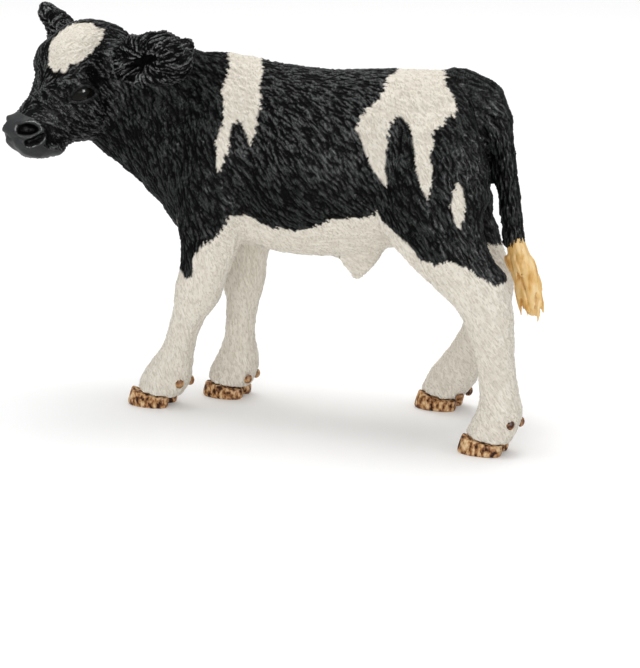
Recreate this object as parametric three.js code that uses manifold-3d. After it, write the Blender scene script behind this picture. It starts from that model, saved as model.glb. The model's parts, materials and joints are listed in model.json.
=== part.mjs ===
// A moulded toy calf, about 1:20, standing in a walking pose.
// Millimetres, +Z up. The calf faces -X and its left side is towards -Y. The last lines move the
// origin to the ground, under the middle of the figure's box.
import * as THREE from 'three';
import { mergeVertices } from 'three/addons/utils/BufferGeometryUtils.js';
import Module from 'manifold-3d';

const wasm = await Module();
wasm.setup();

// Fits and cutters
const jointGap = 0.3; // glue gap left between two pieces that meet
const socketDepthGap = 0.4; // how much deeper a socket is than its peg
const cutterSpan = 160; // side of the big blocks that trim a piece on a plane
const meshWeld = 0.0001; // vertices closer than this are one vertex

// Trunk and neck
const trunkLength = 50; // brisket to buttock
const backHeight = 50; // ground to the middle of the back
const trunkWidth = 20; // across the ribs
const neckWidth = 12; // across the middle of the neck
const neckBend = 5; // how far the poll lies to the left of the trunk's middle
const muscleRelief = 1; // height of a full muscle on the trunk

// Head
const headLength = 19.8; // poll to upper lip
const headDepth = 13; // forehead to the angle of the jaw
const headWidth = 12; // across the eye sockets
const headTurn = 62; // degrees to the calf's left
const headPitch = 34; // degrees nose-down
const headTilt = 7; // degrees, left ear down
const faceRelief = 0.8; // height of a full brow or cheek
const eyeRadius = 1.75;
const nostrilLength = 3.2;
const nostrilWidth = 1.9;
const mouthGap = 0.5; // height of the slit between the lips
const mouthDepth = 3.8; // how far the slit runs back along the lips

// Ears
const earLength = 12.8;
const earWidth = 7.8;
const earThickness = 4.1; // back of the cup to its rim
const earWall = 0.8;

// Legs, measured from the ground to the top of the shoulder or hip
const forelegHeight = 44;
const forelegDepth = 12; // front to rear at the shoulder
const forelegWidth = 6.4; // across the forearm
const hindLegHeight = 49;
const hindLegDepth = 17; // front to rear at the thigh
const hindLegWidth = 7.6; // across the thigh
const forelegCutHeight = 25; // where a foreleg is joined to the trunk
const hindLegCutHeight = 25.5;

// Hooves
const clawLength = 6.2;
const clawHeight = 2; // ground to the coronet, at the middle of the foot
const clawWidth = 2.75;
const clawCleft = 0.3; // between the two claws of a foot
const soleLevel = 0.35; // height of the ground in the tables of heights below
const dewclawRadius = 0.62;
const coronetSlope = 9; // degrees down to the heel
const toeSlope = 38; // degrees, of the top of the toe in front of the pastern

// Tail
const tailDrop = 22; // tail head to the root of the switch
const tailThickness = 3.6;
const switchLength = 9.4;
const switchWidth = 4;

// Tuft of hair under the belly
const tuftLength = 4;

// Pegs that key one moulded piece into the next
const neckPegRadius = 3;
const neckPegLength = 4.5;
const legPegRadius = 1.6;
const legPegLength = 4;
const smallPegRadius = 0.9;
const smallPegLength = 2.2;

// Mesh fineness
const bodySideCount = 28;
const headSideCount = 28;
const legSideCount = 14;
const clawSideCount = 14;
const earSideCount = 16;
const tailSideCount = 10;
const pegSideCount = 8;
const dewclawSideCount = 8;
const eyeSideCount = 10;
const ringCount = 2; // rings from one station of a loft to the next

// Vectors and frames
const vec = (x, y, z) => new THREE.Vector3(x, y, z);
const rad = THREE.MathUtils.degToRad;
const up = vec(0, 0, 1);
const left = vec(0, -1, 0);

// Solids
function toSolid(geometry) {
  const bare = geometry.index ? geometry.toNonIndexed() : geometry.clone();
  const only = new THREE.BufferGeometry().setAttribute('position', bare.getAttribute('position'));
  const merged = mergeVertices(only, meshWeld);
  const mesh = new wasm.Mesh({
    numProp: 3,
    vertProperties: merged.attributes.position.array,
    triVerts: new Uint32Array(merged.index.array),
  });
  return new wasm.Manifold(mesh);
}

function toGeometry(solid) {
  const { numProp, numVert, vertProperties, triVerts } = solid.getMesh();
  const points = new Float32Array(numVert * 3);
  for (let i = 0; i < numVert; i++) points.set(vertProperties.subarray(i * numProp, i * numProp + 3), i * 3);
  const geometry = new THREE.BufferGeometry();
  geometry.setAttribute('position', new THREE.BufferAttribute(points, 3));
  geometry.setIndex(new THREE.BufferAttribute(new Uint32Array(triVerts), 1));
  geometry.computeVertexNormals();
  return geometry;
}

// A signed power, for the rounded-square sections of a loft
const power = (value, exponent) => Math.sign(value) * Math.abs(value) ** exponent;

// A closed body through sections. Each station has its centre `at`, the vector `reach` from there
// to the section's upper edge, the vector `side` to its left edge, and `crown` and `keel`, which say
// how square the upper and lower halves are: 2 is round, less is pointed, more is square.
function loft(stations, segments, brushes = [], grow = 0) {
  const curveOf = (pick) => new THREE.CatmullRomCurve3(stations.map(pick), false, 'centripetal');
  const evenCurveOf = (pick) => new THREE.CatmullRomCurve3(stations.map(pick), false, 'catmullrom');
  const at = curveOf((s) => s.at);
  const reach = evenCurveOf((s) => s.reach);
  const side = evenCurveOf((s) => s.side);
  const squareness = evenCurveOf((s) => vec(s.crown ?? 2, s.keel ?? 2, 0));
  const rings = (stations.length - 1) * ringCount;
  const points = [];
  for (let i = 0; i <= rings; i++) {
    const share = i / rings;
    const centre = at.getPoint(share);
    const [upward, sideways, square] = [reach, side, squareness].map((curve) => curve.getPoint(share));
    upward.setLength(upward.length() + grow);
    sideways.setLength(sideways.length() + grow);
    for (let j = 0; j < segments; j++) {
      const angle = (j / segments) * 2 * Math.PI;
      const exponent = 2 / (Math.sin(angle) > 0 ? square.x : square.y);
      const point = centre.clone();
      point.addScaledVector(sideways, power(Math.cos(angle), exponent));
      point.addScaledVector(upward, power(Math.sin(angle), exponent));
      for (const brush of brushes) sculpt(point, centre, brush);
      points.push(point);
    }
  }
  const first = points.push(at.getPoint(0)) - 1;
  const last = points.push(at.getPoint(1)) - 1;
  const faces = [];
  for (let j = 0; j < segments; j++) {
    const k = (j + 1) % segments;
    faces.push([first, k, j]);
    for (let i = 0; i < rings; i++) {
      const [a, b] = [i * segments, (i + 1) * segments];
      faces.push([a + j, a + k, b + j], [a + k, b + k, b + j]);
    }
    faces.push([last, rings * segments + j, rings * segments + k]);
  }
  return facingOut(points, faces);
}

// A brush raises the surface (or lowers it, if its height is negative) around one spot.
function sculpt(point, centre, { spot, radius, height }) {
  const distance = point.distanceTo(spot) / radius;
  if (distance >= 1) return;
  const outward = point.clone().sub(centre).normalize();
  point.addScaledVector(outward, height * (1 - distance ** 2) ** 2);
}

function facingOut(points, faces) {
  const volume = faces.reduce((sum, [a, b, c]) => sum + points[a].dot(points[b].clone().cross(points[c])), 0);
  const ordered = volume > 0 ? faces : faces.map(([a, b, c]) => [a, c, b]);
  const geometry = new THREE.BufferGeometry().setFromPoints(points);
  geometry.setIndex(ordered.flat());
  return toSolid(geometry);
}

// A block whose bottom face lies on the plane through `point`, on the side that `normal` points to
function halfSpace(point, normal) {
  const block = new THREE.BoxGeometry(cutterSpan, cutterSpan, cutterSpan);
  const turn = new THREE.Quaternion().setFromUnitVectors(up, normal.clone().normalize());
  const middle = point.clone().addScaledVector(normal.clone().normalize(), cutterSpan / 2);
  block.applyMatrix4(new THREE.Matrix4().compose(middle, turn, vec(1, 1, 1)));
  return toSolid(block);
}

// A round peg from `root` along `direction`
function peg(root, direction, radius, length) {
  const rod = new THREE.CylinderGeometry(radius, radius, length, pegSideCount);
  const turn = new THREE.Quaternion().setFromUnitVectors(vec(0, 1, 0), direction.clone().normalize());
  const middle = root.clone().addScaledVector(direction.clone().normalize(), length / 2);
  rod.applyMatrix4(new THREE.Matrix4().compose(middle, turn, vec(1, 1, 1)));
  return toSolid(rod);
}

function ball(centre, radius, segments, stretch = vec(1, 1, 1), turn = new THREE.Quaternion()) {
  const sphere = new THREE.SphereGeometry(radius, segments + 2, segments);
  sphere.applyMatrix4(new THREE.Matrix4().compose(centre, turn, stretch));
  return toSolid(sphere);
}

// The trunk and neck are one loft, from the buttock to the poll. Each row gives the top and bottom
// points as shares of the trunk's length and the back's height, the half width as a share of the
// trunk's width, the share of the neck's bend, and the squareness of the top and bottom.
const trunkShares = [
  { top: [0.49, 0.92], bottom: [0.485, 0.7], half: 0.13, bend: 0 },
  { top: [0.455, 0.985], bottom: [0.45, 0.61], half: 0.3, bend: 0 },
  { top: [0.385, 1.02], bottom: [0.38, 0.575], half: 0.38, bend: 0, crown: 1.8 },
  { top: [0.28, 1.026], bottom: [0.28, 0.54], half: 0.435, bend: 0, crown: 1.85 },
  { top: [0.16, 1.016], bottom: [0.16, 0.507], half: 0.465, bend: 0, crown: 1.9 },
  { top: [0.02, 1.006], bottom: [0.02, 0.48], half: 0.49, bend: 0, crown: 1.9 },
  { top: [-0.1, 1.013], bottom: [-0.1, 0.478], half: 0.475, bend: 0, crown: 1.8 },
  { top: [-0.22, 1.034], bottom: [-0.235, 0.492], half: 0.435, bend: 0, crown: 1.6 },
  { top: [-0.31, 1.041], bottom: [-0.365, 0.476], half: 0.385, bend: 0, crown: 1.6, keel: 1.8 },
  { top: [-0.4, 1.036], bottom: [-0.465, 0.53], half: 0.335, bend: 0.02, crown: 1.7, keel: 1.7 },
];
// The neck's rows follow the neck's width instead of the trunk's.
const neckShares = [
  { top: [-0.48, 1.04], bottom: [-0.55, 0.638], half: 0.49, bend: 0.08, crown: 1.7, keel: 1.7 },
  { top: [-0.56, 1.054], bottom: [-0.62, 0.697], half: 0.42, bend: 0.18, crown: 1.7, keel: 1.8 },
  { top: [-0.63, 1.066], bottom: [-0.68, 0.738], half: 0.38, bend: 0.28, crown: 1.8 },
  { top: [-0.68, 1.04], bottom: [-0.72, 0.8], half: 0.27, bend: 0.36 },
];

function profileStation(row, width) {
  const top = vec(row.top[0] * trunkLength, 0, row.top[1] * backHeight);
  const bottom = vec(row.bottom[0] * trunkLength, 0, row.bottom[1] * backHeight);
  const at = top.clone().add(bottom).divideScalar(2).addScaledVector(left, row.bend * neckBend);
  const reach = top.sub(bottom).divideScalar(2);
  return { at, reach, side: left.clone().multiplyScalar(row.half * width), crown: row.crown, keel: row.keel };
}

const torsoStations = [
  ...trunkShares.map((row) => profileStation(row, trunkWidth)),
  ...neckShares.map((row) => profileStation(row, neckWidth)),
];

// Muscles and hollows of the trunk: place as shares of length, half width and height, size of the
// spot as a share of the width, and height as a share of the full relief
const muscleShares = [
  { place: [-0.27, 0.7, 0.8], size: 0.4, lift: 0.7 }, // shoulder blade
  { place: [-0.38, 0.6, 0.62], size: 0.32, lift: 0.8 }, // point of the shoulder
  { place: [-0.16, 0.9, 0.84], size: 0.3, lift: -0.8 }, // hollow behind the blade
  { place: [0.22, 0.85, 0.95], size: 0.22, lift: 0.6 }, // hip bone
  { place: [0.14, 0.95, 0.8], size: 0.3, lift: -0.7 }, // flank hollow
  { place: [0.03, 0.95, 0.66], size: 0.5, lift: 0.5 }, // ribs
];

function pairedBrushes(rows) {
  return rows.flatMap(({ place, size, lift }) =>
    [1, -1].map((sign) => ({
      spot: vec(place[0] * trunkLength, (-sign * place[1] * trunkWidth) / 2, place[2] * backHeight),
      radius: size * trunkWidth,
      height: lift * muscleRelief,
    })),
  );
}

const torso = loft(torsoStations, bodySideCount, pairedBrushes(muscleShares));
const grownTorso = loft(torsoStations, bodySideCount, pairedBrushes(muscleShares), jointGap);

// The head's own frame: `nose` runs along the face, `brow` is square to it and up, `cheek` is left
const headRootShare = { along: -0.673, above: 1.101 };
const headRoot = vec(headRootShare.along * trunkLength, 0, headRootShare.above * backHeight)
  .addScaledVector(left, neckBend);
const headQuarter = new THREE.Quaternion().setFromAxisAngle(up, rad(headTurn));
const ahead = vec(-1, 0, 0).applyQuaternion(headQuarter);
const level = left.clone().applyQuaternion(headQuarter);
const nose = ahead.clone().applyAxisAngle(level, rad(headPitch));
const cheek = level.clone().applyAxisAngle(nose, -rad(headTilt));
const brow = nose.clone().cross(cheek);
const headBasis = new THREE.Matrix4().makeBasis(nose, cheek, brow).setPosition(headRoot);
const headTurnedBy = new THREE.Quaternion().setFromRotationMatrix(headBasis);
// A point of the head from shares of its length, width and depth
const headPoint = (along, across, above) =>
  vec(along * headLength, across * headWidth, above * headDepth).applyMatrix4(headBasis);

const headShares = [
  { top: [-0.22, -0.25], bottom: [-0.07, -0.66], half: 0.258 },
  { top: [-0.1, 0.0], bottom: [0.081, -0.892], half: 0.358 },
  { top: [0.04, 0.15], bottom: [0.212, -1.015], half: 0.4, crown: 2.3 },
  { top: [0.182, 0.185], bottom: [0.343, -1.031], half: 0.417, crown: 2.6 },
  { top: [0.323, 0.185], bottom: [0.465, -1.0], half: 0.425, crown: 2.6, keel: 1.9 },
  { top: [0.455, 0.069], bottom: [0.576, -0.915], half: 0.383, crown: 2.4, keel: 1.9 },
  { top: [0.571, -0.077], bottom: [0.667, -0.869], half: 0.325, crown: 2.2 },
  { top: [0.687, -0.185], bottom: [0.737, -0.862], half: 0.283 },
  { top: [0.798, -0.2], bottom: [0.808, -0.831], half: 0.267, crown: 2.4 },
  { top: [0.889, -0.192], bottom: [0.879, -0.762], half: 0.267, crown: 2.6, keel: 2.3 },
  { top: [0.955, -0.238], bottom: [0.939, -0.662], half: 0.233, crown: 2.4 },
  { top: [0.99, -0.331], bottom: [0.98, -0.569], half: 0.158 },
  { top: [1.0, -0.408], bottom: [0.995, -0.485], half: 0.067 },
];

const headStations = headShares.map(({ top, bottom, half, crown, keel }) => {
  const above = headPoint(top[0], 0, top[1]);
  const below = headPoint(bottom[0], 0, bottom[1]);
  const at = above.clone().add(below).divideScalar(2);
  const side = cheek.clone().multiplyScalar(half * headWidth);
  return { at, reach: above.sub(below).divideScalar(2), side, crown, keel };
});

const eyePlaceShare = { along: 0.4, across: 0.335, above: -0.29 };
const eyeCentre = (sign) => headPoint(eyePlaceShare.along, sign * eyePlaceShare.across, eyePlaceShare.above);
const nostrilPlaceShare = { along: 0.88, across: 0.2, above: -0.275 };
const faceShares = [
  { place: [0.35, 0.36, -0.06], size: 0.26, lift: 0.8 }, // brow over the eye
  { place: [0.36, 0.4, -0.6], size: 0.5, lift: 0.7 }, // cheek
  { place: [0.56, 0.32, -0.35], size: 0.3, lift: -0.5 }, // hollow before the eye
  { place: [0.2, 0.4, -0.3], size: 0.31, lift: -0.5 }, // temple
  { place: [0.87, 0.25, -0.2], size: 0.24, lift: 0.5 }, // wing of the nostril
];
const headBrushes = faceShares.flatMap(({ place, size, lift }) =>
  [1, -1].map((sign) => ({
    spot: headPoint(place[0], sign * place[1], place[2]),
    radius: size * headWidth,
    height: lift * faceRelief,
  })),
);

// Sockets, nostrils and the slit of the mouth are cut from the head.
function headCuts() {
  const cuts = [];
  for (const sign of [1, -1]) {
    cuts.push(ball(eyeCentre(sign), eyeRadius + jointGap, eyeSideCount));
    const { along, across, above } = nostrilPlaceShare;
    const nostril = headPoint(along, sign * across, above);
    const halfSizes = vec(nostrilLength / 2, nostrilWidth / 2, nostrilWidth / 2);
    cuts.push(ball(nostril, 1, eyeSideCount, halfSizes, headTurnedBy));
  }
  const slit = new THREE.BoxGeometry(mouthDepth * 2, headWidth, mouthGap);
  slit.applyMatrix4(new THREE.Matrix4().makeTranslation(headLength, 0, -0.43 * headDepth));
  cuts.push(toSolid(slit.applyMatrix4(headBasis)));
  return cuts;
}

const headLoft = loft(headStations, headSideCount, headBrushes);
const grownHead = loft(headStations, headSideCount, headBrushes, jointGap);

// The plane between head and neck, square to the neck's last stretch
const neckEndShare = { along: -0.63, above: 0.95, bend: 0.26 };
const neckEnd = vec(neckEndShare.along * trunkLength, 0, neckEndShare.above * backHeight)
  .addScaledVector(left, neckEndShare.bend * neckBend);
const neckDirection = vec(-0.88, -0.06, 0.47).normalize();
// The plane between neck and trunk, in front of the shoulders
const neckRootShare = { along: -0.43, above: 0.79 };
const neckRoot = vec(neckRootShare.along * trunkLength, 0, neckRootShare.above * backHeight);
const neckRootDirection = vec(-0.96, 0, 0.28).normalize();

// Legs. The rows run from the shoulder or hip down to the coronet: height, front-to-rear depth and
// width as shares of the leg's own sizes.
const forelegShares = [
  { height: 1.0, depth: 0.36, half: 0.2 },
  { height: 0.87, depth: 0.88, half: 0.46 },
  { height: 0.73, depth: 1.0, half: 0.5 },
  { height: 0.61, depth: 0.82, half: 0.5 },
  { height: 0.5, depth: 0.6, half: 0.46 },
  { height: 0.41, depth: 0.57, half: 0.45 },
  { height: 0.345, depth: 0.42, half: 0.39 },
  { height: 0.275, depth: 0.36, half: 0.35 },
  { height: 0.2, depth: 0.395, half: 0.36 },
  { height: 0.13, depth: 0.54, half: 0.44 },
  { height: 0.08, depth: 0.54, half: 0.465 },
  { height: 0.035, depth: 0.49, half: 0.45 },
];
const hindLegShares = [
  { height: 1.0, depth: 0.3, half: 0.15 },
  { height: 0.9, depth: 0.78, half: 0.4 },
  { height: 0.78, depth: 1.0, half: 0.5 },
  { height: 0.665, depth: 0.9, half: 0.5 },
  { height: 0.585, depth: 0.68, half: 0.45 },
  { height: 0.52, depth: 0.545, half: 0.41 },
  { height: 0.46, depth: 0.465, half: 0.37 },
  { height: 0.4, depth: 0.42, half: 0.36 },
  { height: 0.33, depth: 0.35, half: 0.33 },
  { height: 0.255, depth: 0.305, half: 0.3 },
  { height: 0.19, depth: 0.32, half: 0.31 },
  { height: 0.13, depth: 0.37, half: 0.36 },
  { height: 0.08, depth: 0.365, half: 0.38 },
  { height: 0.035, depth: 0.36, half: 0.38 },
];

// Each leg: which side it is on, where its middle line lies at each row as a share of the trunk's
// length, and how far out at each row as a share of the trunk's width. The toe share says how far
// the claws are set forward of the pastern.
const legs = [
  {
    name: 'foreleg_left',
    dewclawHeightShare: 0.135,
    toeShare: 0.1,
    foot: 'front_left',
    sign: 1,
    kind: 'fore',
    alongShares: [-0.26, -0.274, -0.288, -0.3, -0.317, -0.343, -0.369, -0.393, -0.413, -0.438, -0.47, -0.49],
    outShares: [0.2, 0.29, 0.32, 0.31, 0.3, 0.285, 0.275, 0.265, 0.255, 0.245, 0.24, 0.235],
  },
  {
    name: 'foreleg_right',
    dewclawHeightShare: 0.1,
    toeShare: -0.02,
    foot: 'front_right',
    sign: -1,
    kind: 'fore',
    alongShares: [-0.26, -0.27, -0.275, -0.277, -0.292, -0.293, -0.29, -0.296, -0.298, -0.3, -0.322, -0.338],
    outShares: [0.2, 0.28, 0.3, 0.28, 0.26, 0.245, 0.23, 0.215, 0.2, 0.185, 0.175, 0.17],
  },
  {
    name: 'hind_leg_left',
    dewclawHeightShare: 0.115,
    toeShare: 0.07,
    foot: 'hind_left',
    sign: 1,
    kind: 'hind',
    alongShares: [
      0.37, 0.37, 0.362, 0.377, 0.422, 0.47, 0.52, 0.548, 0.563, 0.574, 0.582, 0.588, 0.568, 0.548,
    ],
    outShares: [0.12, 0.27, 0.34, 0.36, 0.375, 0.385, 0.395, 0.4, 0.405, 0.405, 0.405, 0.405, 0.405, 0.405],
  },
  {
    name: 'hind_leg_right',
    dewclawHeightShare: 0.09,
    toeShare: 0.04,
    foot: 'hind_right',
    sign: -1,
    kind: 'hind',
    alongShares: [
      0.35, 0.32, 0.29, 0.298, 0.347, 0.386, 0.418, 0.442, 0.44, 0.412, 0.381, 0.349, 0.312, 0.292,
    ],
    outShares: [0.12, 0.27, 0.34, 0.37, 0.39, 0.405, 0.42, 0.435, 0.445, 0.455, 0.465, 0.47, 0.475, 0.475],
  },
];

const legKinds = {
  fore: {
    rows: forelegShares,
    height: forelegHeight,
    depth: forelegDepth,
    width: forelegWidth,
    cut: forelegCutHeight,
  },
  hind: {
    rows: hindLegShares,
    height: hindLegHeight,
    depth: hindLegDepth,
    width: hindLegWidth,
    cut: hindLegCutHeight,
  },
};

function legStations(leg) {
  const { rows, height, depth, width } = legKinds[leg.kind];
  const centres = rows.map((row, i) =>
    vec(leg.alongShares[i] * trunkLength, -leg.sign * leg.outShares[i] * trunkWidth, row.height * height),
  );
  return rows.map((row, i) => {
    const before = centres[Math.max(i - 1, 0)];
    const after = centres[Math.min(i + 1, centres.length - 1)];
    const downward = after.clone().sub(before).normalize();
    const forward = downward.clone().cross(left).normalize();
    return {
      at: centres[i],
      reach: forward.multiplyScalar((row.depth * depth) / 2),
      side: left.clone().multiplyScalar(row.half * width),
      crown: 2,
      keel: 2.2,
    };
  });
}

// A leg's joint with the trunk: the middle of the limb at the cut's height, and its direction there
function legJoint(leg, stations) {
  const { cut } = legKinds[leg.kind];
  const below = stations.findIndex((station) => station.at.z < cut);
  const [a, b] = [stations[below - 1].at, stations[below].at];
  const at = a.clone().lerp(b, (a.z - cut) / (a.z - b.z));
  return { at, upward: a.clone().sub(b).normalize() };
}

// The lower end of a leg, where it meets the claws: a plane that slopes down to the heel
function coronet(stations) {
  const end = stations.at(-1).at;
  const normal = up.clone().applyAxisAngle(left, -rad(coronetSlope));
  return { at: vec(end.x, end.y, soleLevel + clawHeight), normal };
}

// A claw stands on the ground and leans back as it rises.
const clawShares = [
  { height: 0, shift: 0, length: 0.475, half: 0.45 },
  { height: 0.2, shift: 0, length: 0.5, half: 0.49 },
  { height: 0.7, shift: 0.025, length: 0.485, half: 0.5 },
  { height: 1.2, shift: 0.05, length: 0.455, half: 0.48 },
  { height: 1.7, shift: 0.08, length: 0.42, half: 0.44 },
];
function claw(foot, side) {
  const stations = clawShares.map(({ height, shift, length, half }) => ({
    at: vec(
      foot.x + shift * clawLength,
      foot.y + side * (clawWidth + clawCleft) * 0.5,
      foot.z + height * clawHeight,
    ),
    reach: vec(-length * clawLength, 0, 0),
    side: left.clone().multiplyScalar(half * clawWidth),
    crown: 1.75,
    keel: 2.3,
  }));
  return loft(stations, clawSideCount);
}

// Everything that belongs to one leg: its loft, cut above and below, its claws and dewclaws
const dewclawPlaceShare = { out: 0.55, back: 0.93 };
const dewclawStretch = vec(1, 1, 1.15);
const toeTopShare = { along: 0.36, above: 1.32 }; // where the top of the toe slopes down from
function buildLeg(leg) {
  const stations = legStations(leg);
  const whole = loft(stations, legSideCount);
  const joint = legJoint(leg, stations);
  const end = coronet(stations);
  const footMiddle = vec(end.at.x - leg.toeShare * clawLength, end.at.y, soleLevel);
  const lower = end.at.clone().addScaledVector(end.normal, jointGap / 2);
  const pegStart = joint.at.clone().addScaledVector(joint.upward, -jointGap);
  const limb = whole
    .subtract(halfSpace(joint.at.clone().addScaledVector(joint.upward, -jointGap / 2), joint.upward))
    .subtract(halfSpace(lower, end.normal.clone().negate()))
    .subtract(grownTorso)
    .add(peg(pegStart, joint.upward, legPegRadius, legPegLength));
  const grownLimb = loft(stations, legSideCount, [], jointGap);
  const top = end.at.clone().addScaledVector(end.normal, -jointGap / 2);
  const toeOffset = vec(-toeTopShare.along * clawLength, 0, toeTopShare.above * clawHeight);
  const toeTop = footMiddle.clone().add(toeOffset);
  const toeNormal = up.clone().applyAxisAngle(left, -rad(toeSlope));
  const aboveFoot = halfSpace(top, end.normal).intersect(halfSpace(toeTop, toeNormal));
  const limbEnd = grownLimb.subtract(halfSpace(top, end.normal.clone().negate()));
  const claws = [1, -1].map((side) => {
    return { side, solid: claw(footMiddle, side).subtract(aboveFoot).subtract(limbEnd) };
  });
  const heel = sectionAt(stations, leg.dewclawHeightShare * legKinds[leg.kind].height);
  const dewclaws = [1, -1].map((side) => {
    const centre = heel.at
      .clone()
      .addScaledVector(heel.reach, -dewclawPlaceShare.back)
      .addScaledVector(left, -side * heel.side.length() * dewclawPlaceShare.out);
    const knob = ball(centre, dewclawRadius, dewclawSideCount, dewclawStretch);
    return { side, solid: knob.subtract(grownLimb) };
  });
  return { leg, whole, joint, limb, claws, dewclaws };
}

// The section of a leg at a height between two of its stations
function sectionAt(stations, height) {
  const below = stations.findIndex((station) => station.at.z <= height);
  const [a, b] = [stations[below - 1], stations[below]];
  const share = (a.at.z - height) / (a.at.z - b.at.z);
  return {
    at: a.at.clone().lerp(b.at, share),
    reach: a.reach.clone().lerp(b.reach, share),
    side: a.side.clone().lerp(b.side, share),
  };
}

const builtLegs = legs.map(buildLeg);

// Ears: a leaf with a scoop cut from its front
const earShares = [
  { along: -0.04, half: 0.16, thick: 0.25 },
  { along: 0.07, half: 0.28, thick: 0.42 },
  { along: 0.22, half: 0.38, thick: 0.5 },
  { along: 0.42, half: 0.49, thick: 0.5 },
  { along: 0.62, half: 0.5, thick: 0.46 },
  { along: 0.8, half: 0.43, thick: 0.38 },
  { along: 0.93, half: 0.27, thick: 0.26 },
  { along: 1.0, half: 0.08, thick: 0.1 },
];
const ears = [
  { name: 'ear_left', sign: 1, sweepAngle: 12, liftAngle: 7, tiltAngle: 20, lengthShare: 1.12 },
  { name: 'ear_right', sign: -1, sweepAngle: 13, liftAngle: 2, tiltAngle: 12, lengthShare: 1 },
];
const scoopSquareness = 2.8;
const scoopShiftShare = 0.5; // how far the scoop is moved towards the opening
const earPegShare = 0.15; // how far up the ear its peg starts
const earRootShare = { along: 0.035, across: 0.35, above: -0.32 };

// Each ear points out, swept back and lifted; its cup opens forward, tilted up.
function buildEar({ name, sign, sweepAngle, liftAngle, tiltAngle, lengthShare }) {
  const turn = new THREE.Quaternion().setFromAxisAngle(brow, sign * rad(sweepAngle));
  const direction = cheek.clone().multiplyScalar(sign).applyQuaternion(turn);
  const opening = nose.clone().applyQuaternion(turn);
  direction.applyAxisAngle(opening, sign * rad(liftAngle));
  opening.applyAxisAngle(direction, -sign * rad(tiltAngle));
  const across = opening.clone().cross(direction).normalize();
  const root = headPoint(earRootShare.along, sign * earRootShare.across, earRootShare.above);
  const length = lengthShare * earLength;
  const leaf = (inset, shift, square) =>
    earShares.map(({ along, half, thick }) => ({
      at: root.clone().addScaledVector(direction, along * (length - inset)).addScaledVector(opening, shift),
      reach: across.clone().multiplyScalar(Math.max(half * earWidth - inset, inset / 4)),
      side: opening.clone().multiplyScalar(Math.max(thick * earThickness - inset / 2, inset / 4)),
      crown: square,
      keel: square,
    }));
  const shell = loft(leaf(0, 0, 2), earSideCount);
  const scoop = loft(leaf(earWall, earThickness * scoopShiftShare, scoopSquareness), earSideCount);
  const pegStart = root.clone().addScaledVector(direction, earPegShare * earLength);
  const keyLength = smallPegLength + earPegShare * earLength;
  const keyPeg = peg(pegStart, direction.clone().negate(), smallPegRadius, keyLength);
  const cup = shell.subtract(scoop).subtract(grownHead);
  const grown = loft(leaf(0, 0, 2), earSideCount, [], jointGap);
  return { name, root, direction, grown, solid: cup.add(keyPeg) };
}

const builtEars = ears.map(buildEar);

// Tail and switch, as shares of the tail's drop behind and below the tail head
const tailHeadShare = { along: 0.35, above: 0.985 };
const tailHead = vec(tailHeadShare.along * trunkLength, 0, tailHeadShare.above * backHeight);
const tailShares = [
  { back: -0.02, down: 0.03, half: 0.36 },
  { back: 0.11, down: -0.035, half: 0.53 },
  { back: 0.25, down: 0.02, half: 0.56 },
  { back: 0.345, down: 0.14, half: 0.53 },
  { back: 0.395, down: 0.3, half: 0.49 },
  { back: 0.433, down: 0.53, half: 0.45 },
  { back: 0.465, down: 0.76, half: 0.44 },
  { back: 0.495, down: 1.0, half: 0.44 },
];
const switchShares = [
  { back: 0, down: 0, half: 0.42 },
  { back: 0.13, down: 0.22, half: 0.5 },
  { back: 0.22, down: 0.5, half: 0.5 },
  { back: 0.28, down: 0.77, half: 0.45 },
  { back: 0.315, down: 0.94, half: 0.31 },
  { back: 0.325, down: 1, half: 0.12 },
];
const tailFlatShare = 0.9; // how wide the tail is, as a share of its depth

function hangingStations(start, rows, length, thickness) {
  const centres = rows.map(({ back, down }) => start.clone().add(vec(back * length, 0, -down * length)));
  return rows.map(({ half }, i) => {
    const before = centres[Math.max(i - 1, 0)];
    const after = centres[Math.min(i + 1, centres.length - 1)];
    const along = after.clone().sub(before).normalize();
    return {
      at: centres[i],
      reach: along.cross(left).multiplyScalar(half * thickness),
      side: left.clone().multiplyScalar(half * thickness * tailFlatShare),
    };
  });
}

const tailStations = hangingStations(tailHead, tailShares, tailDrop, tailThickness);
const tailEnd = tailStations.at(-1).at;
const tailLoft = loft(tailStations, tailSideCount);
const switchStart = tailEnd.clone().addScaledVector(up, -jointGap);
const switchStations = hangingStations(switchStart, switchShares, switchLength, switchWidth);
const switchPegHole = peg(switchStart, up, smallPegRadius + jointGap, smallPegLength + socketDepthGap);
const switchSolid = loft(switchStations, tailSideCount)
  .subtract(halfSpace(switchStart, up))
  .add(peg(switchStart.clone().addScaledVector(up, -jointGap), up, smallPegRadius, smallPegLength));

// The tuft of hair under the belly
const tuftShares = [
  { at: [0.107, 0.56], length: 1.15, half: 0.5 },
  { at: [0.107, 0.515], length: 1.05, half: 0.46 },
  { at: [0.107, 0.485], length: 0.85, half: 0.38 },
  { at: [0.107, 0.45], length: 0.5, half: 0.27 },
  { at: [0.105, 0.418], length: 0.14, half: 0.11 },
];
const tuft = loft(
  tuftShares.map(({ at, length, half }) => ({
    at: vec(at[0] * trunkLength, 0, at[1] * backHeight),
    reach: vec(-length * tuftLength, 0, 0),
    side: left.clone().multiplyScalar(half * tuftLength),
  })),
  tailSideCount,
);

// The trunk: torso behind the neck's root, with the tops of the legs and the sockets for all pegs
const gapBehind = (point, normal) => point.clone().addScaledVector(normal, jointGap / 2);
// A peg that points back from a plane, and the hole it goes into
function pegAndSocket(at, normal) {
  const back = normal.clone().negate();
  const start = at.clone().addScaledVector(normal, jointGap);
  return [
    peg(start, back, neckPegRadius, neckPegLength),
    peg(at, back, neckPegRadius + jointGap, neckPegLength + socketDepthGap),
  ];
}
const [neckPeg, neckSocket] = pegAndSocket(neckRoot, neckRootDirection);
const [headPeg, headSocket] = pegAndSocket(neckEnd, neckDirection);

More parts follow.
